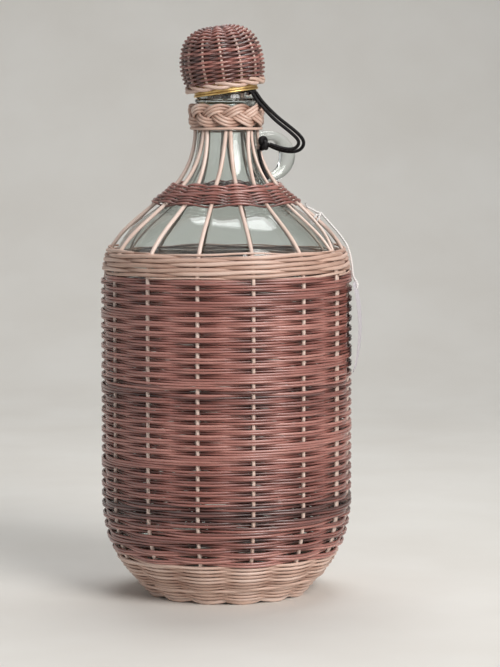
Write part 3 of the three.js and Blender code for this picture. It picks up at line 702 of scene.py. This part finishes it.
def add_finger_ring(jug):
    """The moulded ring with its finger hole, sunk into the jug's outside."""
    turn = full_turn(RING_POINTS)
    hole_near, hole_far, hole_h = RING_HOLE

    def oval(near, far, half_h):
        mid = (near + far) / 2
        return np.stack([mid + (far - mid) * np.cos(turn), half_h * np.sin(turn)], axis=1)

    def boxy(x):
        return copysign(abs(x) ** RING_BOXY, x)

    outside = oval(RING_ROOT_R, RING_REACH, RING_HALF_H)
    inside = oval(hole_near, hole_far, hole_h / 2)
    verts = []
    for centre, half in zip((outside + inside) / 2, (outside - inside) / 2):
        for a in full_turn(RING_SIDES):
            r, z = centre + half * boxy(cos(a))
            verts.append((r, boxy(sin(a)) * RING_THICK / 2, z + RING_Z))
    faces = grid(RING_POINTS, RING_SIDES, True, True)
    ring = mesh_object("ring_glass", verts, faces, place=Matrix.Rotation(RING_AZIMUTH - pi / 2, 4, "Z"))
    fix_normals(ring)
    sunk = NECK_R - RING_SINK
    drum = [(0, RING_CUT_Z), (sunk, RING_CUT_Z), (sunk, MOUTH_Z), (0, MOUTH_Z)]
    cutter = turned("cutter", drum, segments=64)
    boolean(ring, cutter, "DIFFERENCE")
    boolean(jug, ring, "UNION")


# Wicker
WEAVE_FROM = FIRST_POST + 0.5
# Painted shade: how much darker a rod's tone is painted where it passes behind a post or dips under another
# rod
PAINTED_SHADE = 0.34
ROD_FLAT = 0.86
THIN_END = 0.3
WALE_THIN_END = 0.4
WALE_RODS = 3
WALE_SUB = 8
THIN_SIDES = 8
MOST_STRETCH = 1.15
DARK_BAND_Z = 62
DARK_BAND_HALF_H = 9.0
HEEL_BEND_R = 57.0
HEEL_START = (FOOT_R + 3.6, 3.9)
STAKE_POINTS = 150


def wander(n, scale, every):
    """A slow random drift along a rod."""
    knots = rng.normal(0, scale, max(4, int(n / every) + 4))
    x = np.linspace(0, len(knots) - 1, n)
    i = np.clip(x.astype(int), 0, len(knots) - 2)
    t = smoothstep(x - i, 0, 1)
    return knots[i] * (1 - t) + knots[i + 1] * t


def piece_tones(n, every, spread):
    """A tone that changes where one rod ends and the next begins."""
    cuts = rng.normal(0, spread, int(n / every) + 3)
    return cuts[(np.arange(n) + int(rng.integers(0, every))) // every]


def in_front(step, posts):
    """1 where a weaver passes before a post, -1 behind. With even posts it repeats one in each round."""
    shift = step if posts % 2 else step + step // (posts + 1)
    return -1.0 if shift % 2 else 1.0


def eased(values, m):
    """Values given at the posts, eased from each post to the next."""
    k = np.floor(m).astype(int)
    t = (1 - np.cos(pi * (m - k))) / 2
    return values[k] * (1 - t) + values[k + 1] * t


def stretch(line, along, off):
    """How much longer a step is at that distance off the line than on it."""
    back = line.at(along - 0.5, off)
    ahead = line.at(along + 0.5, off)
    return np.clip(np.hypot(ahead[0] - back[0], ahead[1] - back[1]), 1.0, MOST_STRETCH)


def plain_runs(
    line, off, start, end, rounds, swing, rod_r, tone, posts=POSTS, first=WEAVE_FROM,
    twin=False, dark=0.0, bulge=0.0, sub=7, sides=6,
):
    """A weaver of one or two rods that winds up line, over and under the posts, thin at both ends.

    swing is how far it moves in and out, dark the depth of its dark band, bulge how much thicker it is
    before a post, sub its points from post to post.
    """
    steps = rounds * posts
    n = steps * sub + 1
    m = np.linspace(0, steps, n)
    wave = eased(np.array([in_front(k, posts) for k in range(steps + 2)]), m)
    front = (1 + wave) / 2
    # Painted shade: the tone drops where the weaver passes behind a post, close behind the post on twin rods
    shade_behind = (1 - front) ** 8 if twin else 1 - front**2
    pitch = (end - start) / rounds
    turn = m / posts
    level = np.clip(turn, 0.5, rounds - 0.5)
    taper = smoothstep(turn, -0.2, 0.5) * smoothstep(rounds - turn, -0.2, 0.5)
    slim = THIN_END + (1 - THIN_END) * taper
    az = TAU * (turn + first / posts)
    runs = []
    for row in (-1, 1) if twin else (0,):
        apart = row * (0.97 * rod_r * front + (pitch / 4 + 0.1) * (1 - front)) * slim
        drift = wander(n, 0.014 * pitch, sub * 2.3) + wander(n, 0.02 * pitch, sub * 9)
        along = np.clip(start + pitch * level + apart + drift, 0, line.length)
        thick = rod_r * slim * (1 + bulge * front**4) * (1 + wander(n, 0.04, sub * 11))
        thick = thick * stretch(line, along, off)
        r, z, tr, tz = line.at(along, off + wave * swing + wander(n, 0.05, sub * 2))
        base = tone - dark * np.exp(-(((z - DARK_BAND_Z) / DARK_BAND_HALF_H) ** 2))
        tones = base + piece_tones(n, int(sub * posts * 2.7), 0.15) - PAINTED_SHADE * shade_behind
        runs.append(rod_round(r, az, z, thick, tr, tz, sides=sides, flat=ROD_FLAT, tone=tones))
    return runs


def wale_runs(line, off, start, end, rounds, swing, rod_r, tone, posts=POSTS, first=WEAVE_FROM - 1):
    """Three rods wound together, each before two posts and behind the third."""
    steps = rounds * posts
    n = steps * WALE_SUB + 1
    m = np.linspace(0, steps, n)
    pitch = (end - start) / rounds
    level = np.clip(m / posts, 1 / 6, rounds - 1 / 6)
    taper = smoothstep(m, 0, posts / 2) * smoothstep(steps - m, 0, posts / 2)
    slim = WALE_THIN_END + (1 - WALE_THIN_END) * taper
    runs = []
    for j in range(WALE_RODS):
        later = round(j * posts / WALE_RODS)
        place = [((k - later) % posts + j) % WALE_RODS for k in range(steps + 2)]
        wave = eased(np.array([(-1.0, 1.0, 1.0)[q] for q in place]), m)
        close = eased(np.array([(0.0, -1.0, 1.0)[q] for q in place]), m) * pitch / 12
        drift = wander(n, 0.012 * pitch, WALE_SUB * 4)
        along = np.clip(start + pitch * level + close + drift, 0, line.length)
        az = TAU * (m - later + first) / posts
        r, z, tr, tz = line.at(along, off + wave * swing)
        # Painted shade: the tone is darker where a rod passes behind a post
        tones = tone + piece_tones(n, int(WALE_SUB * posts * 1.9), 0.12) - PAINTED_SHADE * (1 - wave) / 2
        thick = rod_r * slim * (1 + wander(n, 0.04, WALE_SUB * 9))
        runs.append(rod_round(r, az, z, thick, tr, tz, sides=THIN_SIDES, flat=ROD_FLAT, tone=tones))
    return runs


def heel_line():
    """The line that the pale band follows: out from the foot, then up beside the stakes."""
    r, z, _, _ = wall.at(np.linspace(along_r(HEEL_BEND_R), BAND_END, num=60), STAND_OFF)
    upper = np.stack([r, z], axis=1)
    return Outline(joined(straight(HEEL_START, upper[0], n=20), upper))


def make_jacket():
    body_end = BODY_END + BODY_RISE
    runs = plain_runs(
        wall, off=STAND_OFF + 0.65, start=BAND_END, end=body_end, rounds=56, swing=1.7, rod_r=0.87,
        tone=0.5, twin=True, dark=0.36,
    )
    rods("body_courses", runs, "body_weave", "brown_reed")
    runs = plain_runs(
        wall, off=STAND_OFF, start=BASE_WEAVE_START, end=BASE_WEAVE_END + 3.6, rounds=10, swing=1.9,
        rod_r=1.35, tone=0.56,
    )
    rods("base_courses", runs, "base_weave")
    heel = heel_line()
    runs = plain_runs(
        heel, off=0.3, start=0.0, end=heel.length, rounds=21, swing=1.2, rod_r=0.9, tone=0.56, bulge=0.3
    )
    rods("heel_courses", runs, "base_band")
    runs = wale_runs(
        wall, off=STAND_OFF + 0.2, start=body_end - 0.8, end=SHOULDER_TOP + WALE_RISE, rounds=3, swing=1.6,
        rod_r=1.3, tone=0.46,
    )
    rods("shoulder_courses", runs, "shoulder_wale")
    runs = plain_runs(
        wall, off=STAND_OFF + 0.5, start=COLLAR - COLLAR_SETTLE, end=COLLAR_END - COLLAR_SETTLE, rounds=14,
        swing=1.5, rod_r=0.72, tone=0.66, posts=len(stakes), bulge=0.3,
    )
    rods("collar_courses", runs, "collar_weave", "brown_reed")


def make_stakes():
    for i, stake in enumerate(stakes):
        low = BAND_START if stake["added"] else 0.0
        path, out, _ = stake_line(stake, np.linspace(low, wall.length, STAKE_POINTS))
        tone = 0.84 + wander(STAKE_POINTS, 0.08, 30) + rng.normal(0, 0.05)
        radius = stake["r"] * (1 + wander(STAKE_POINTS, 0.02, 20))
        name = f"stake_{i + 1:02d}"
        rods("rod_" + name, [tube_mesh(path, out, radius, tone=tone)], name)


# Base of the jacket
SLATH_STICKS = 3
SLATH_STEP = 3.7
SLATH_INSET = 1.85
SLATH_ROD_R = 1.4
SLATH_FLAT = 0.87
SLATH_POINTS = 24
UPPER_DROP = 1.25
LOWER_DROP = 3.55
ROLL_FROM = -0.2
ROLL_TO = 1.25
ROLL_R = 1.72
LINING_R = 1.25


def make_slath():
    """Three sticks across three others, in the middle of the base."""
    length = SLATH_R - 2 * STAKE_R - GAP - SLATH_INSET
    t = np.linspace(-1, 1, SLATH_POINTS)
    ends = np.sqrt(np.clip(1 - np.abs(t) ** 14, 0.05, 1))
    runs = []
    for i in range(SLATH_STICKS):
        x = t * length
        y = (i - 1) * SLATH_STEP + 0.12 * np.sin(3 * t + i)
        for flip in (False, True):
            z = np.full(SLATH_POINTS, BASE_Z - GAP - (LOWER_DROP if flip else UPPER_DROP))
            path = np.stack([y, x, z] if flip else [x, y, z], axis=-1)
            tone = 0.5 + rng.normal(0, 0.05)
            thick = SLATH_ROD_R * ends
            runs.append(tube_mesh(path, (0.0, 0.0, 1.0), thick, flat=SLATH_FLAT, tone=tone))
    rods("slath_rods", runs, "base_slath")


def make_foot():
    """Rods rolled one under the next round the foot, one arc to a post, and a lining of thinner rods."""
    runs = []
    for k in range(POSTS):
        t = np.linspace(ROLL_FROM, ROLL_TO, num=30)
        bulge = np.sin(pi * np.clip(t, 0, 1))
        ending = smoothstep(t, 1.0, ROLL_TO)
        az = TAU * (k + t) / POSTS
        r = FOOT_R + 0.4 + 2.2 * bulge - 1.6 * ending - 1.0 * smoothstep(-t, 0.0, -ROLL_FROM)
        z = 1.75 + 1.3 * (1 - bulge) + 0.6 * ending
        thick = ROLL_R * (1 - 0.3 * smoothstep(t, 1.05, ROLL_TO) - 0.3 * smoothstep(-t, 0.05, -ROLL_FROM))
        runs.append(rod_round(r, az, z, thick, tone=0.62 + rng.normal(0, 0.06)))
    for k in range(POSTS):
        t = np.linspace(0.1, 1.5, num=24)
        az = TAU * (k + t) / POSTS
        r = FOOT_R - 2.4 + 1.2 * np.sin(pi * np.clip(t - 0.3, 0, 1))
        z = 2.2 + 0.5 * np.cos(TAU * t)
        runs.append(rod_round(r, az, z, LINING_R, sides=THIN_SIDES, tone=0.5 + rng.normal(0, 0.06)))
    rods("foot_rods", runs, "foot_border")


# Plait and ring of the neck
PLAIT_ROD_R = 0.98
PLAIT_RISE = 4.5
PLAIT_SWING = 1.7
PLAIT_R = NECK_R + GAP + PLAIT_ROD_R + PLAIT_SWING + 0.4
PLAIT_Z = (NECK_Z + BEAD_Z) / 2 + 0.8
PLAIT_POINTS = 600
PLAIT_STRANDS = 3
NECK_RING_Z = NECK_Z + 1.1


def make_plait():
    """One strand of three rods, three times round the neck and plaited with itself, over a thin ring."""
    u = np.linspace(0, PLAIT_STRANDS * TAU, PLAIT_POINTS, endpoint=False)
    phase = u * PLAIT_BIGHTS / PLAIT_STRANDS
    path = spot(PLAIT_R + PLAIT_SWING * np.sin(2 * phase), u, PLAIT_Z + PLAIT_RISE * np.sin(phase))
    out = outward(u)
    side = unit(np.cross(directions(path, True), out))
    runs = []
    for row in (-1, 0, 1):
        lift = 0.2 if row == 0 else 0.0
        line = path + side * row * PLAIT_ROD_R * 2.02 + out * lift
        # Painted shade: the tone is darker where a strand dips under the others
        tone = 0.58 + wander(PLAIT_POINTS, 0.12, 40) - 1.5 * PAINTED_SHADE * (1 - np.sin(2 * phase)) / 2
        radius = PLAIT_ROD_R * (1 + wander(PLAIT_POINTS, 0.03, 30))
        runs.append(tube_mesh(line, out, radius, closed=True, tone=tone))
    rods("plait_rods", runs, "neck_plait")
    az = full_turn(n=120)
    r = NECK_R + 2 * GAP + 2 * STAKE_R + NECK_RING_R + 0.15 * np.sin(8 * az)
    z = NECK_RING_Z + 0.2 * np.sin(3 * az + 1)
    run = rod_round(r, az, z, NECK_RING_R, closed=True, tone=0.55)
    rods("neck_ring_rod", [run], "neck_ring")


# Cap and its woven knob, made upright on the rim and then laid over with the cap
KNOB_PASS = COVER_STAKE_R + GAP + COVER_EASE + COVER_WEAVER_HALF
KNOB_FOOT_R = CAP_R + GAP + COVER_WEAVER_HALF + KNOB_PASS
KNOB_STEP = TAU / COVER_POSTS
KNOB_STAKE_POINTS = 60
CROWN_ROD_R = 0.85
CROWN_POINTS = 48
CROWN_COILS = ((0.0, 3.7), (1.3, 2.2), (2.2, 0.9))
BORDER_R = 1.18
BORDER_POINTS = 40


def make_cap():
    """The tin cap with its curled rim, inside first, and the liner in it."""
    inside = CAP_INSIDE_R
    under = LINER_SEAT + LINER_T + GAP
    profile = [(0, under), (inside - 1.2, under), (inside, under - 1.0), (inside, 1.4), (inside - 0.2, 0.4)]
    profile += [(inside + 0.2, 0.0), (CAP_R + 0.3, 0.05), (CAP_R + 0.55, 0.5), (CAP_R + 0.45, 1.1)]
    profile += [(CAP_R + 0.05, 1.5), (CAP_R, 2.0)]
    profile += lifted(under + CAP_SHEET, [(CAP_R, -1.2), (CAP_R - 0.4, -0.3), (CAP_R - 1.2, 0.0), (0, 0.0)])
    finish_piece(turned("cap_tin", profile, segments=120, place=cap_place), "gold_tin", "screw_cap", "cap")
    r = inside - GAP
    profile = lifted(LINER_SEAT, [(0, 0.0), (r - 0.3, 0.0), (r, 0.3)])
    profile += lifted(LINER_SEAT + LINER_T, [(r, -0.3), (r - 0.3, 0.0), (0, 0.0)])
    finish_piece(turned("liner_disc", profile, segments=72, place=cap_place), "liner", "cap_liner", "liner")


def knob_line():
    """The knob's dome, from its foot on the cap over the bulge to the crown."""
    bulge_r, bulge_z = COVER_BULGE
    t = shares(n=60)
    start = np.array((KNOB_FOOT_R, COVER_FOOT))
    mid = np.array((bulge_r, (COVER_FOOT + bulge_z) / 2))
    lower = start * (1 - t) ** 2 + 2 * mid * t * (1 - t) + np.array(COVER_BULGE) * t**2
    upper = bezier(
        COVER_BULGE,
        (bulge_r, bulge_z + (COVER_TOP_Z - bulge_z) * 0.7),
        (COVER_CROWN_R + (bulge_r - COVER_CROWN_R) * 0.65, COVER_TOP_Z),
        (COVER_CROWN_R, COVER_TOP_Z),
        n=120,
    )
    return Outline(joined(lower, upper))


def make_cover():
    dome = knob_line()
    r, z, tr, tz = dome.at(np.linspace(0, dome.length, KNOB_STAKE_POINTS))
    for i in range(COVER_POSTS):
        az = KNOB_STEP * i
        tone = 0.66 + wander(KNOB_STAKE_POINTS, 0.06, 15)
        run = rod_round(r, az, z, COVER_STAKE_R, tr, tz, sides=THIN_SIDES, tone=tone)
        name = f"cover_stake_{i + 1:02d}"
        rods("rod_" + name, [run], name, body="cap")
    runs = plain_runs(
        dome, off=0.0, start=0.0, end=dome.length - 0.6, rounds=35, swing=1.4, rod_r=0.82, tone=0.42,
        posts=COVER_POSTS, first=0.0, sub=8, sides=7,
    )
    rods("cover_courses", runs, "cover_weave", "brown_reed", "cap")
    make_border()
    runs = []
    for k, (turn, r) in enumerate(CROWN_COILS):
        az = np.linspace(turn, turn + TAU, CROWN_POINTS, endpoint=False)
        z = COVER_TOP_Z + 0.15 * k - 0.1
        runs.append(rod_round(r, az, z, CROWN_ROD_R, tr=-1.0, tz=0.0, sides=THIN_SIDES, closed=True))
    rods("crown_coil", runs, "cover_crown", body="cap")


def make_border():
    """Each stake of the knob turns down to the right, over the next two, and tucks in behind."""
    t = np.linspace(0, 1, BORDER_POINTS)
    z = COVER_FOOT + 0.9 - 3.4 * smoothstep(t, 0.0, 0.66) + 1.2 * smoothstep(t, 0.72, 1.0)
    r = KNOB_FOOT_R + 1.6 * smoothstep(t, 0.0, 0.3) - 2.0 * smoothstep(t, 0.55, 1.0)
    thick = BORDER_R * (1 - 0.2 * smoothstep(t, 0.85, 1.0))
    runs = []
    for i in range(COVER_POSTS):
        az = KNOB_STEP * (i + 0.5 + 2.1 * t)
        tone = 0.56 + rng.normal(0, 0.07) + wander(BORDER_POINTS, 0.04, 12)
        runs.append(rod_round(r, az, z, thick, tone=tone))
    rods("border_rods", runs, "cover_border", body="cap")


# Cords
EASING_PASSES = 12
CORD_SIDES = 12
STRAND_POINTS = 90
NOOSE_LEAD = 0.12
OUTER_ROUTE = [
    (18.9, -6.6, 318.4), (21.4, -6.8, 314.6), (25.8, -6.4, 309.6), (32.4, -5.2, 303.2),
    (40.1, -3.4, 297.1), (46.1, -1.8, 292.0), (49.4, -0.6, 287.2), (47.6, 0.2, 282.9),
    (43.2, 0.4, 281.2), (37.0, 0.3, 281.6), (31.2, 0.2, 283.2), (27.4, 0.1, 285.0),
]
INNER_ROUTE = [
    (16.6, -10.6, 318.2), (19.0, -11.2, 314.2), (23.9, -11.3, 308.6), (30.4, -9.6, 301.8),
    (37.6, -7.4, 296.0), (43.0, -5.2, 291.4), (46.2, -3.6, 287.4), (44.6, -2.8, 283.9),
    (41.0, -2.6, 282.8), (36.0, -2.6, 283.4), (31.2, -2.6, 284.8), (27.4, -2.6, 286.2),
]


def centripetal(points, n):
    """A smooth curve through the points, evenly stepped, and its length."""

    def mix(a, b, start, end):
        return (end - t) / (end - start) * a + (t - start) / (end - start) * b

    p = np.array(points, float)
    p = np.vstack([2 * p[0] - p[1], p, 2 * p[-1] - p[-2]])
    line = []
    for i in range(1, len(p) - 2):
        p0, p1, p2, p3 = p[i - 1 : i + 3]
        step = np.linalg.norm(np.diff(p[i - 1 : i + 3], axis=0), axis=1) ** 0.5
        t1, t2, t3 = np.cumsum(step)
        t = np.linspace(t1, t2, num=24, endpoint=False)[:, None]
        near = mix(p1, p2, t1, t2)
        before = mix(mix(p0, p1, 0.0, t1), near, 0.0, t2)
        after = mix(near, mix(p2, p3, t2, t3), t1, t3)
        line.append(mix(before, after, t1, t2))
    line = np.vstack([*line, p[-2]])
    s = distances(line)
    even = np.linspace(0, s[-1], n)
    path = np.stack([np.interp(even, s, line[:, k]) for k in range(3)], axis=-1)
    for _ in range(EASING_PASSES):
        path[1:-1] = (path[:-2] + 2 * path[1:-1] + path[2:]) / 4
    return path, distances(path)[-1]


def steady_normals(path):
    """Normals that turn as little as they can along a path."""
    t = directions(path)
    start = np.eye(3)[1 if abs(t[0][1]) < 0.9 else 0]
    normals = [start - t[0] * np.dot(start, t[0])]
    for k in range(1, len(path)):
        n = normals[-1] - t[k] * np.dot(normals[-1], t[k])
        normals.append(n / np.linalg.norm(n))
    return np.array(normals)


def cord_run(path, radius):
    return tube_mesh(path, steady_normals(path), radius, CORD_SIDES)


def cord_piece(name, points, radius, slot, node, n):
    path, length = centripetal(points, n)
    return rods(name, [cord_run(path, radius)], node, slot), path, length


def lead_run(start, end, share, lift):
    """A short piece of tether, raised at that share of its way."""
    between = start * (1 - share) + end * share + (0, 0, lift)
    return cord_run(centripetal([start, between, end], n=12)[0], TETHER_R)


def make_tether():
    az = full_turn(n=100)
    noose_r = FINISH_R + GAP + TETHER_R
    noose_z = STEP_TOP + GAP + TETHER_R
    runs = [rod_round(noose_r, az, noose_z, TETHER_R, sides=CORD_SIDES, closed=True)]
    for route in (OUTER_ROUTE, INNER_ROUTE):
        leave = atan2(route[0][0], -route[0][1])
        start = spot(noose_r, leave - NOOSE_LEAD, noose_z)
        runs.append(lead_run(start, np.array(route[0]), 0.6, 0.2))
    noose = rods("noose_cord", runs, "tether_noose", "black_cord")
    knot = make_tether_knot()
    tail = []
    for z in np.linspace(TETHER_KNOT_Z - 2 * (TETHER_R + GAP), TAIL_END_Z, 5):
        s = along_z(z)
        r, h, _, _ = wall.at(s, 2 * GAP + TETHER_R)
        _, _, beside = stake_line(stakes[TETHER_STAKE], s)
        tail.append(spot(r, beside - (STAKE_R + GAP + TETHER_R) / r, h))
    tail_obj, _, _ = cord_piece("tail_cord", tail, TETHER_R, "black_cord", "tether_tail", n=40)
    a = cord_piece("strand_a_cord", OUTER_ROUTE, TETHER_R, "black_cord", "tether_strand_a", STRAND_POINTS)
    b = cord_piece("strand_b_cord", INNER_ROUTE, TETHER_R, "black_cord", "tether_strand_b", STRAND_POINTS)


def make_tether_knot():
    """A tight knot on the stake, where both strands and the tail come together."""
    at, out, az = stake_line(stakes[TETHER_STAKE], along_z(TETHER_KNOT_Z))
    side = np.array([cos(az), sin(az), 0.0])
    up = np.cross(side, out)
    middle = at + out * 3.1 - side * 1.5
    u = full_turn(n=160)
    x = 1.2 * (np.sin(u) + 2 * np.sin(2 * u))
    y = 1.2 * (np.cos(u) - 2 * np.cos(2 * u))
    w = -1.25 * np.sin(3 * u)
    path = middle + np.stack([x, y, w], axis=1) @ [side, up, out]
    runs = [tube_mesh(path, path - middle + out * 3, radius=1.7, sides=CORD_SIDES, closed=True)]
    for route in (OUTER_ROUTE, INNER_ROUTE):
        runs.append(lead_run(np.array(route[-1]), middle, 0.5, -0.4))
    return rods("knot_cord", runs, "tether_knot", "black_cord")


# Hang tag and its string
TAG_CLEAR = JACKET_T + GAP + STRING_R
TAG_HOLE_Z = TAG_TOP_Z - TAG_HOLE_DROP
TAG_COLUMNS = 35
TAG_ROWS = 57
TAG_CORNER = 3.0
PUNCH_REACH = 6
STRING_SIDES = 10
LOOP_R = 2.15
FRAY_HAIRS = 16


def tag_bow(share):
    """Radius of the tag's inner face, at that share of the way down it."""
    return BODY_R + TAG_CLEAR + GAP + 4 * TAG_BOW * share * (1 - share)


TAG_HOLE_AT_R = tag_bow(TAG_HOLE_DROP / TAG_L) + TAG_T / 2


def make_tag():
    at, out, az = stake_line(stakes[STRING_STAKE], along_z(STRING_KNOT_Z))
    route = [at + out * (STAKE_R + 5 * GAP + 3 * STRING_R)]
    for along in (SHOULDER_TOP + WEAVER_T, (SHOULDER_TOP + BODY_END) / 2, BODY_END):
        r, z, _, _ = wall.at(along, TAG_CLEAR)
        route.append(spot(r, STRING_AZIMUTH, z))
    before = tag_bow(0) + TAG_T + 2 * GAP + STRING_R
    route.append(spot(before, STRING_AZIMUTH, TAG_TOP_Z))
    route.append(spot(before + 2 * STRING_R, STRING_AZIMUTH, (TAG_TOP_Z + TAG_HOLE_Z) / 2))
    route.append(spot(TAG_HOLE_AT_R, STRING_AZIMUTH, TAG_HOLE_Z))
    string = cord_piece("tag_cord", route, STRING_R, "white_string", "tag_string", n=80)
    knot = make_string_knot(at, out, float(az))
    tag = make_card()


def make_string_knot(at, out, az):
    """A knot on the stake: two loops round it, a lump before it, one standing end, and frayed hairs."""
    side = np.array([cos(az), sin(az), 0.0])
    up = np.cross(side, out)
    up = up * (1 if up[2] > 0 else -1)
    u = full_turn(n=60)
    runs = []
    for lift, tilt in ((-0.7, 0.25), (0.7, -0.25)):
        normal = np.cos(u)[:, None] * side + np.sin(u)[:, None] * out
        loop = at + LOOP_R * normal + (lift + tilt * np.cos(u) * 2)[:, None] * up
        runs.append(tube_mesh(loop, normal, radius=0.75, sides=STRING_SIDES, closed=True))
    lump = 1.1 * (1.0 + 0.35 * np.cos(3 * u))
    wound = np.stack([lump * np.cos(2 * u), lump * np.sin(2 * u), 0.6 * np.sin(3 * u)], axis=1)
    ball = at + out * 3.3 + wound @ [side, up, out]
    runs.append(tube_mesh(ball, out, radius=0.7, sides=STRING_SIDES, closed=True))
    front = at + out * 3.4
    t = shares(n=20)
    end = front + up * 9.0 * t + side * 1.2 * np.sin(3 * t) - out * 1.5 * t**2
    runs.append(tube_mesh(end, side, radius=0.62, sides=STRING_SIDES))
    t = shares(n=14)
    for k in range(FRAY_HAIRS):
        root = end[-1] if k % 2 else front
        aim = out * 0.5 + up * (0.8 if k % 2 else -0.1) + side * rng.normal(0, 0.5) + out * rng.normal(0, 0.3)
        hair = root + aim * t * (2.0 + 2.0 * rng.random()) + side * rng.normal(0, 0.8) * t**2
        runs.append(tube_mesh(hair, side + 0.1, radius=0.14, sides=5))
    return rods("string_knot_cord", runs, "string_knot", "white_string")


def make_card():
    """A plain bowed card with rounded corners and a punched hole."""
    down = np.linspace(0, TAG_L, TAG_ROWS)[:, None]
    across = np.linspace(-1, 1, TAG_COLUMNS)
    edge = np.minimum(np.minimum(down, TAG_L - down), TAG_CORNER)
    inset = TAG_CORNER - np.sqrt(TAG_CORNER**2 - (TAG_CORNER - edge) ** 2)
    curl = 0.5 * across**2 * (down / TAG_L) - 0.25
    r = tag_bow(down / TAG_L) + curl * 0.6 + 0.15
    y = across * (TAG_W / 2 - inset)
    face = np.stack(np.broadcast_arrays(r, y, TAG_TOP_Z - down), axis=-1).reshape(-1, 3)
    back = len(face)
    places = np.arange(back).reshape(TAG_ROWS, TAG_COLUMNS)
    rim = np.concatenate([places[0], places[1:, -1], places[-1, -2::-1], places[-2:0:-1, 0]])
    ahead = np.roll(rim, -1)
    quads = grid(TAG_ROWS, TAG_COLUMNS)
    faces = np.vstack([quads, quads + back, np.stack([rim, ahead, ahead + back, rim + back], axis=1)])
    turn = Matrix.Rotation(STRING_AZIMUTH - pi / 2, 4, "Z")
    tag = mesh_object("blank_tag", np.vstack([face + (TAG_T, 0, 0), face]), faces, place=turn)
    through = np.array([(TAG_HOLE_AT_R + x, 0, TAG_HOLE_Z) for x in (-PUNCH_REACH, PUNCH_REACH)])
    verts, quads, caps, _, _ = tube_mesh(through, (0, 0, 1), TAG_HOLE_R, sides=40)
    punch = mesh_object("punch", verts, quads.tolist() + caps, place=turn)
    for obj in (tag, punch):
        fix_normals(obj)
    boolean(tag, punch, "DIFFERENCE")
    for polygon in tag.data.polygons:
        polygon.use_smooth = False
    return finish_piece(tag, "card", "hang_tag")


# Studio, with the floor in millimetres and the lamps and camera in metres
FLOOR_NEAR_Y = -4500
FLOOR_BEND_Y = 900
FLOOR_BEND_R = 700
FLOOR_TOP_Z = 3500
FLOOR_HALF_W = 4000.0
WORLD_LIGHT = 0.22
WORLD_SHOWN = 0.56
SENSOR_H = 24.0
PHOTO_H = 667
FOCAL_PIXELS = 2677.5


def make_floor():
    """A pale floor that bends up into a wall behind the jug."""
    sweep = [(y, 0.0) for y in np.linspace(FLOOR_NEAR_Y, FLOOR_BEND_Y, 18)]
    for a in np.linspace(0, pi / 2, 14)[1:]:
        sweep.append((FLOOR_BEND_Y + FLOOR_BEND_R * sin(a), FLOOR_BEND_R - FLOOR_BEND_R * cos(a)))
    sweep.append((FLOOR_BEND_Y + FLOOR_BEND_R, FLOOR_TOP_Z))
    verts = [(x, y, z) for y, z in sweep for x in (FLOOR_HALF_W, -FLOOR_HALF_W)]
    floor = mesh_object("floor", verts, grid(len(sweep), 2))
    floor.data.materials.append(floor_look())


def place_facing(name, data, at, aim):
    """Puts a lamp or camera into the scene, turned to a point."""
    obj = bpy.data.objects.new(name, data)
    obj.location = at
    obj.rotation_euler = (Vector(aim) - Vector(at)).to_track_quat("-Z", "Y").to_euler()
    bpy.context.scene.collection.objects.link(obj)
    return obj


def make_lamp(name, at, size, power, colour, spread=180):
    data = bpy.data.lights.new(name, "AREA")
    data.shape = "ELLIPSE"
    data.size, data.size_y = size
    data.energy = power
    data.color = colour
    data.spread = radians(spread)
    place_facing(name, data, at, aim=(0, 0, 0.18))


def make_world():
    """Soft light all round, and a paler background for what the camera, gloss and glass show."""
    world = bpy.data.worlds.new("studio")
    world.use_nodes = True
    bpy.context.scene.world = world
    sky = Nodes(world.node_tree)
    back = sky.nodes["Background"]
    back.inputs["Color"].default_value = (0.86, 0.87, 0.88, 1)
    ray = sky.node("ShaderNodeLightPath").outputs
    seen = sky.math("MAXIMUM", ray["Is Camera Ray"], ray["Is Glossy Ray"])
    shown = sky.math("MAXIMUM", seen, ray["Is Transmission Ray"])
    sky.join(sky.math("MULTIPLY_ADD", shown, WORLD_SHOWN, WORLD_LIGHT), back.inputs["Strength"])


def make_studio():
    bpy.context.scene.view_settings.view_transform = "Standard"
    make_floor()
    # The key's narrow spread keeps the floor behind the jug from clipping
    make_lamp("key", (0.95, -1.25, 1.05), (1.1, 1.3), power=7.0, colour=(1.0, 0.975, 0.95), spread=80)
    make_lamp("fill", (-1.3, -0.9, 0.6), (1.0, 1.2), power=1.6, colour=(0.95, 0.97, 1.0))
    make_lamp("top", (0.1, 0.5, 1.5), (1.2, 0.8), power=11.0, colour=(1.0, 1.0, 1.0))
    make_world()
    camera = bpy.data.cameras.new("camera")
    camera.sensor_fit = "VERTICAL"
    camera.sensor_height = SENSOR_H
    camera.lens = FOCAL_PIXELS / PHOTO_H * SENSOR_H
    camera.clip_end = 50
    placed = place_facing("camera", camera, at=(0.015, -1.7, 0.325), aim=(0.015, 0.0, 0.1655))
    bpy.context.scene.camera = placed


make_studio()
make_glass()
make_jacket()
make_stakes()
make_slath()
make_foot()
make_plait()
make_cap()
make_cover()
make_tether()
make_tag()
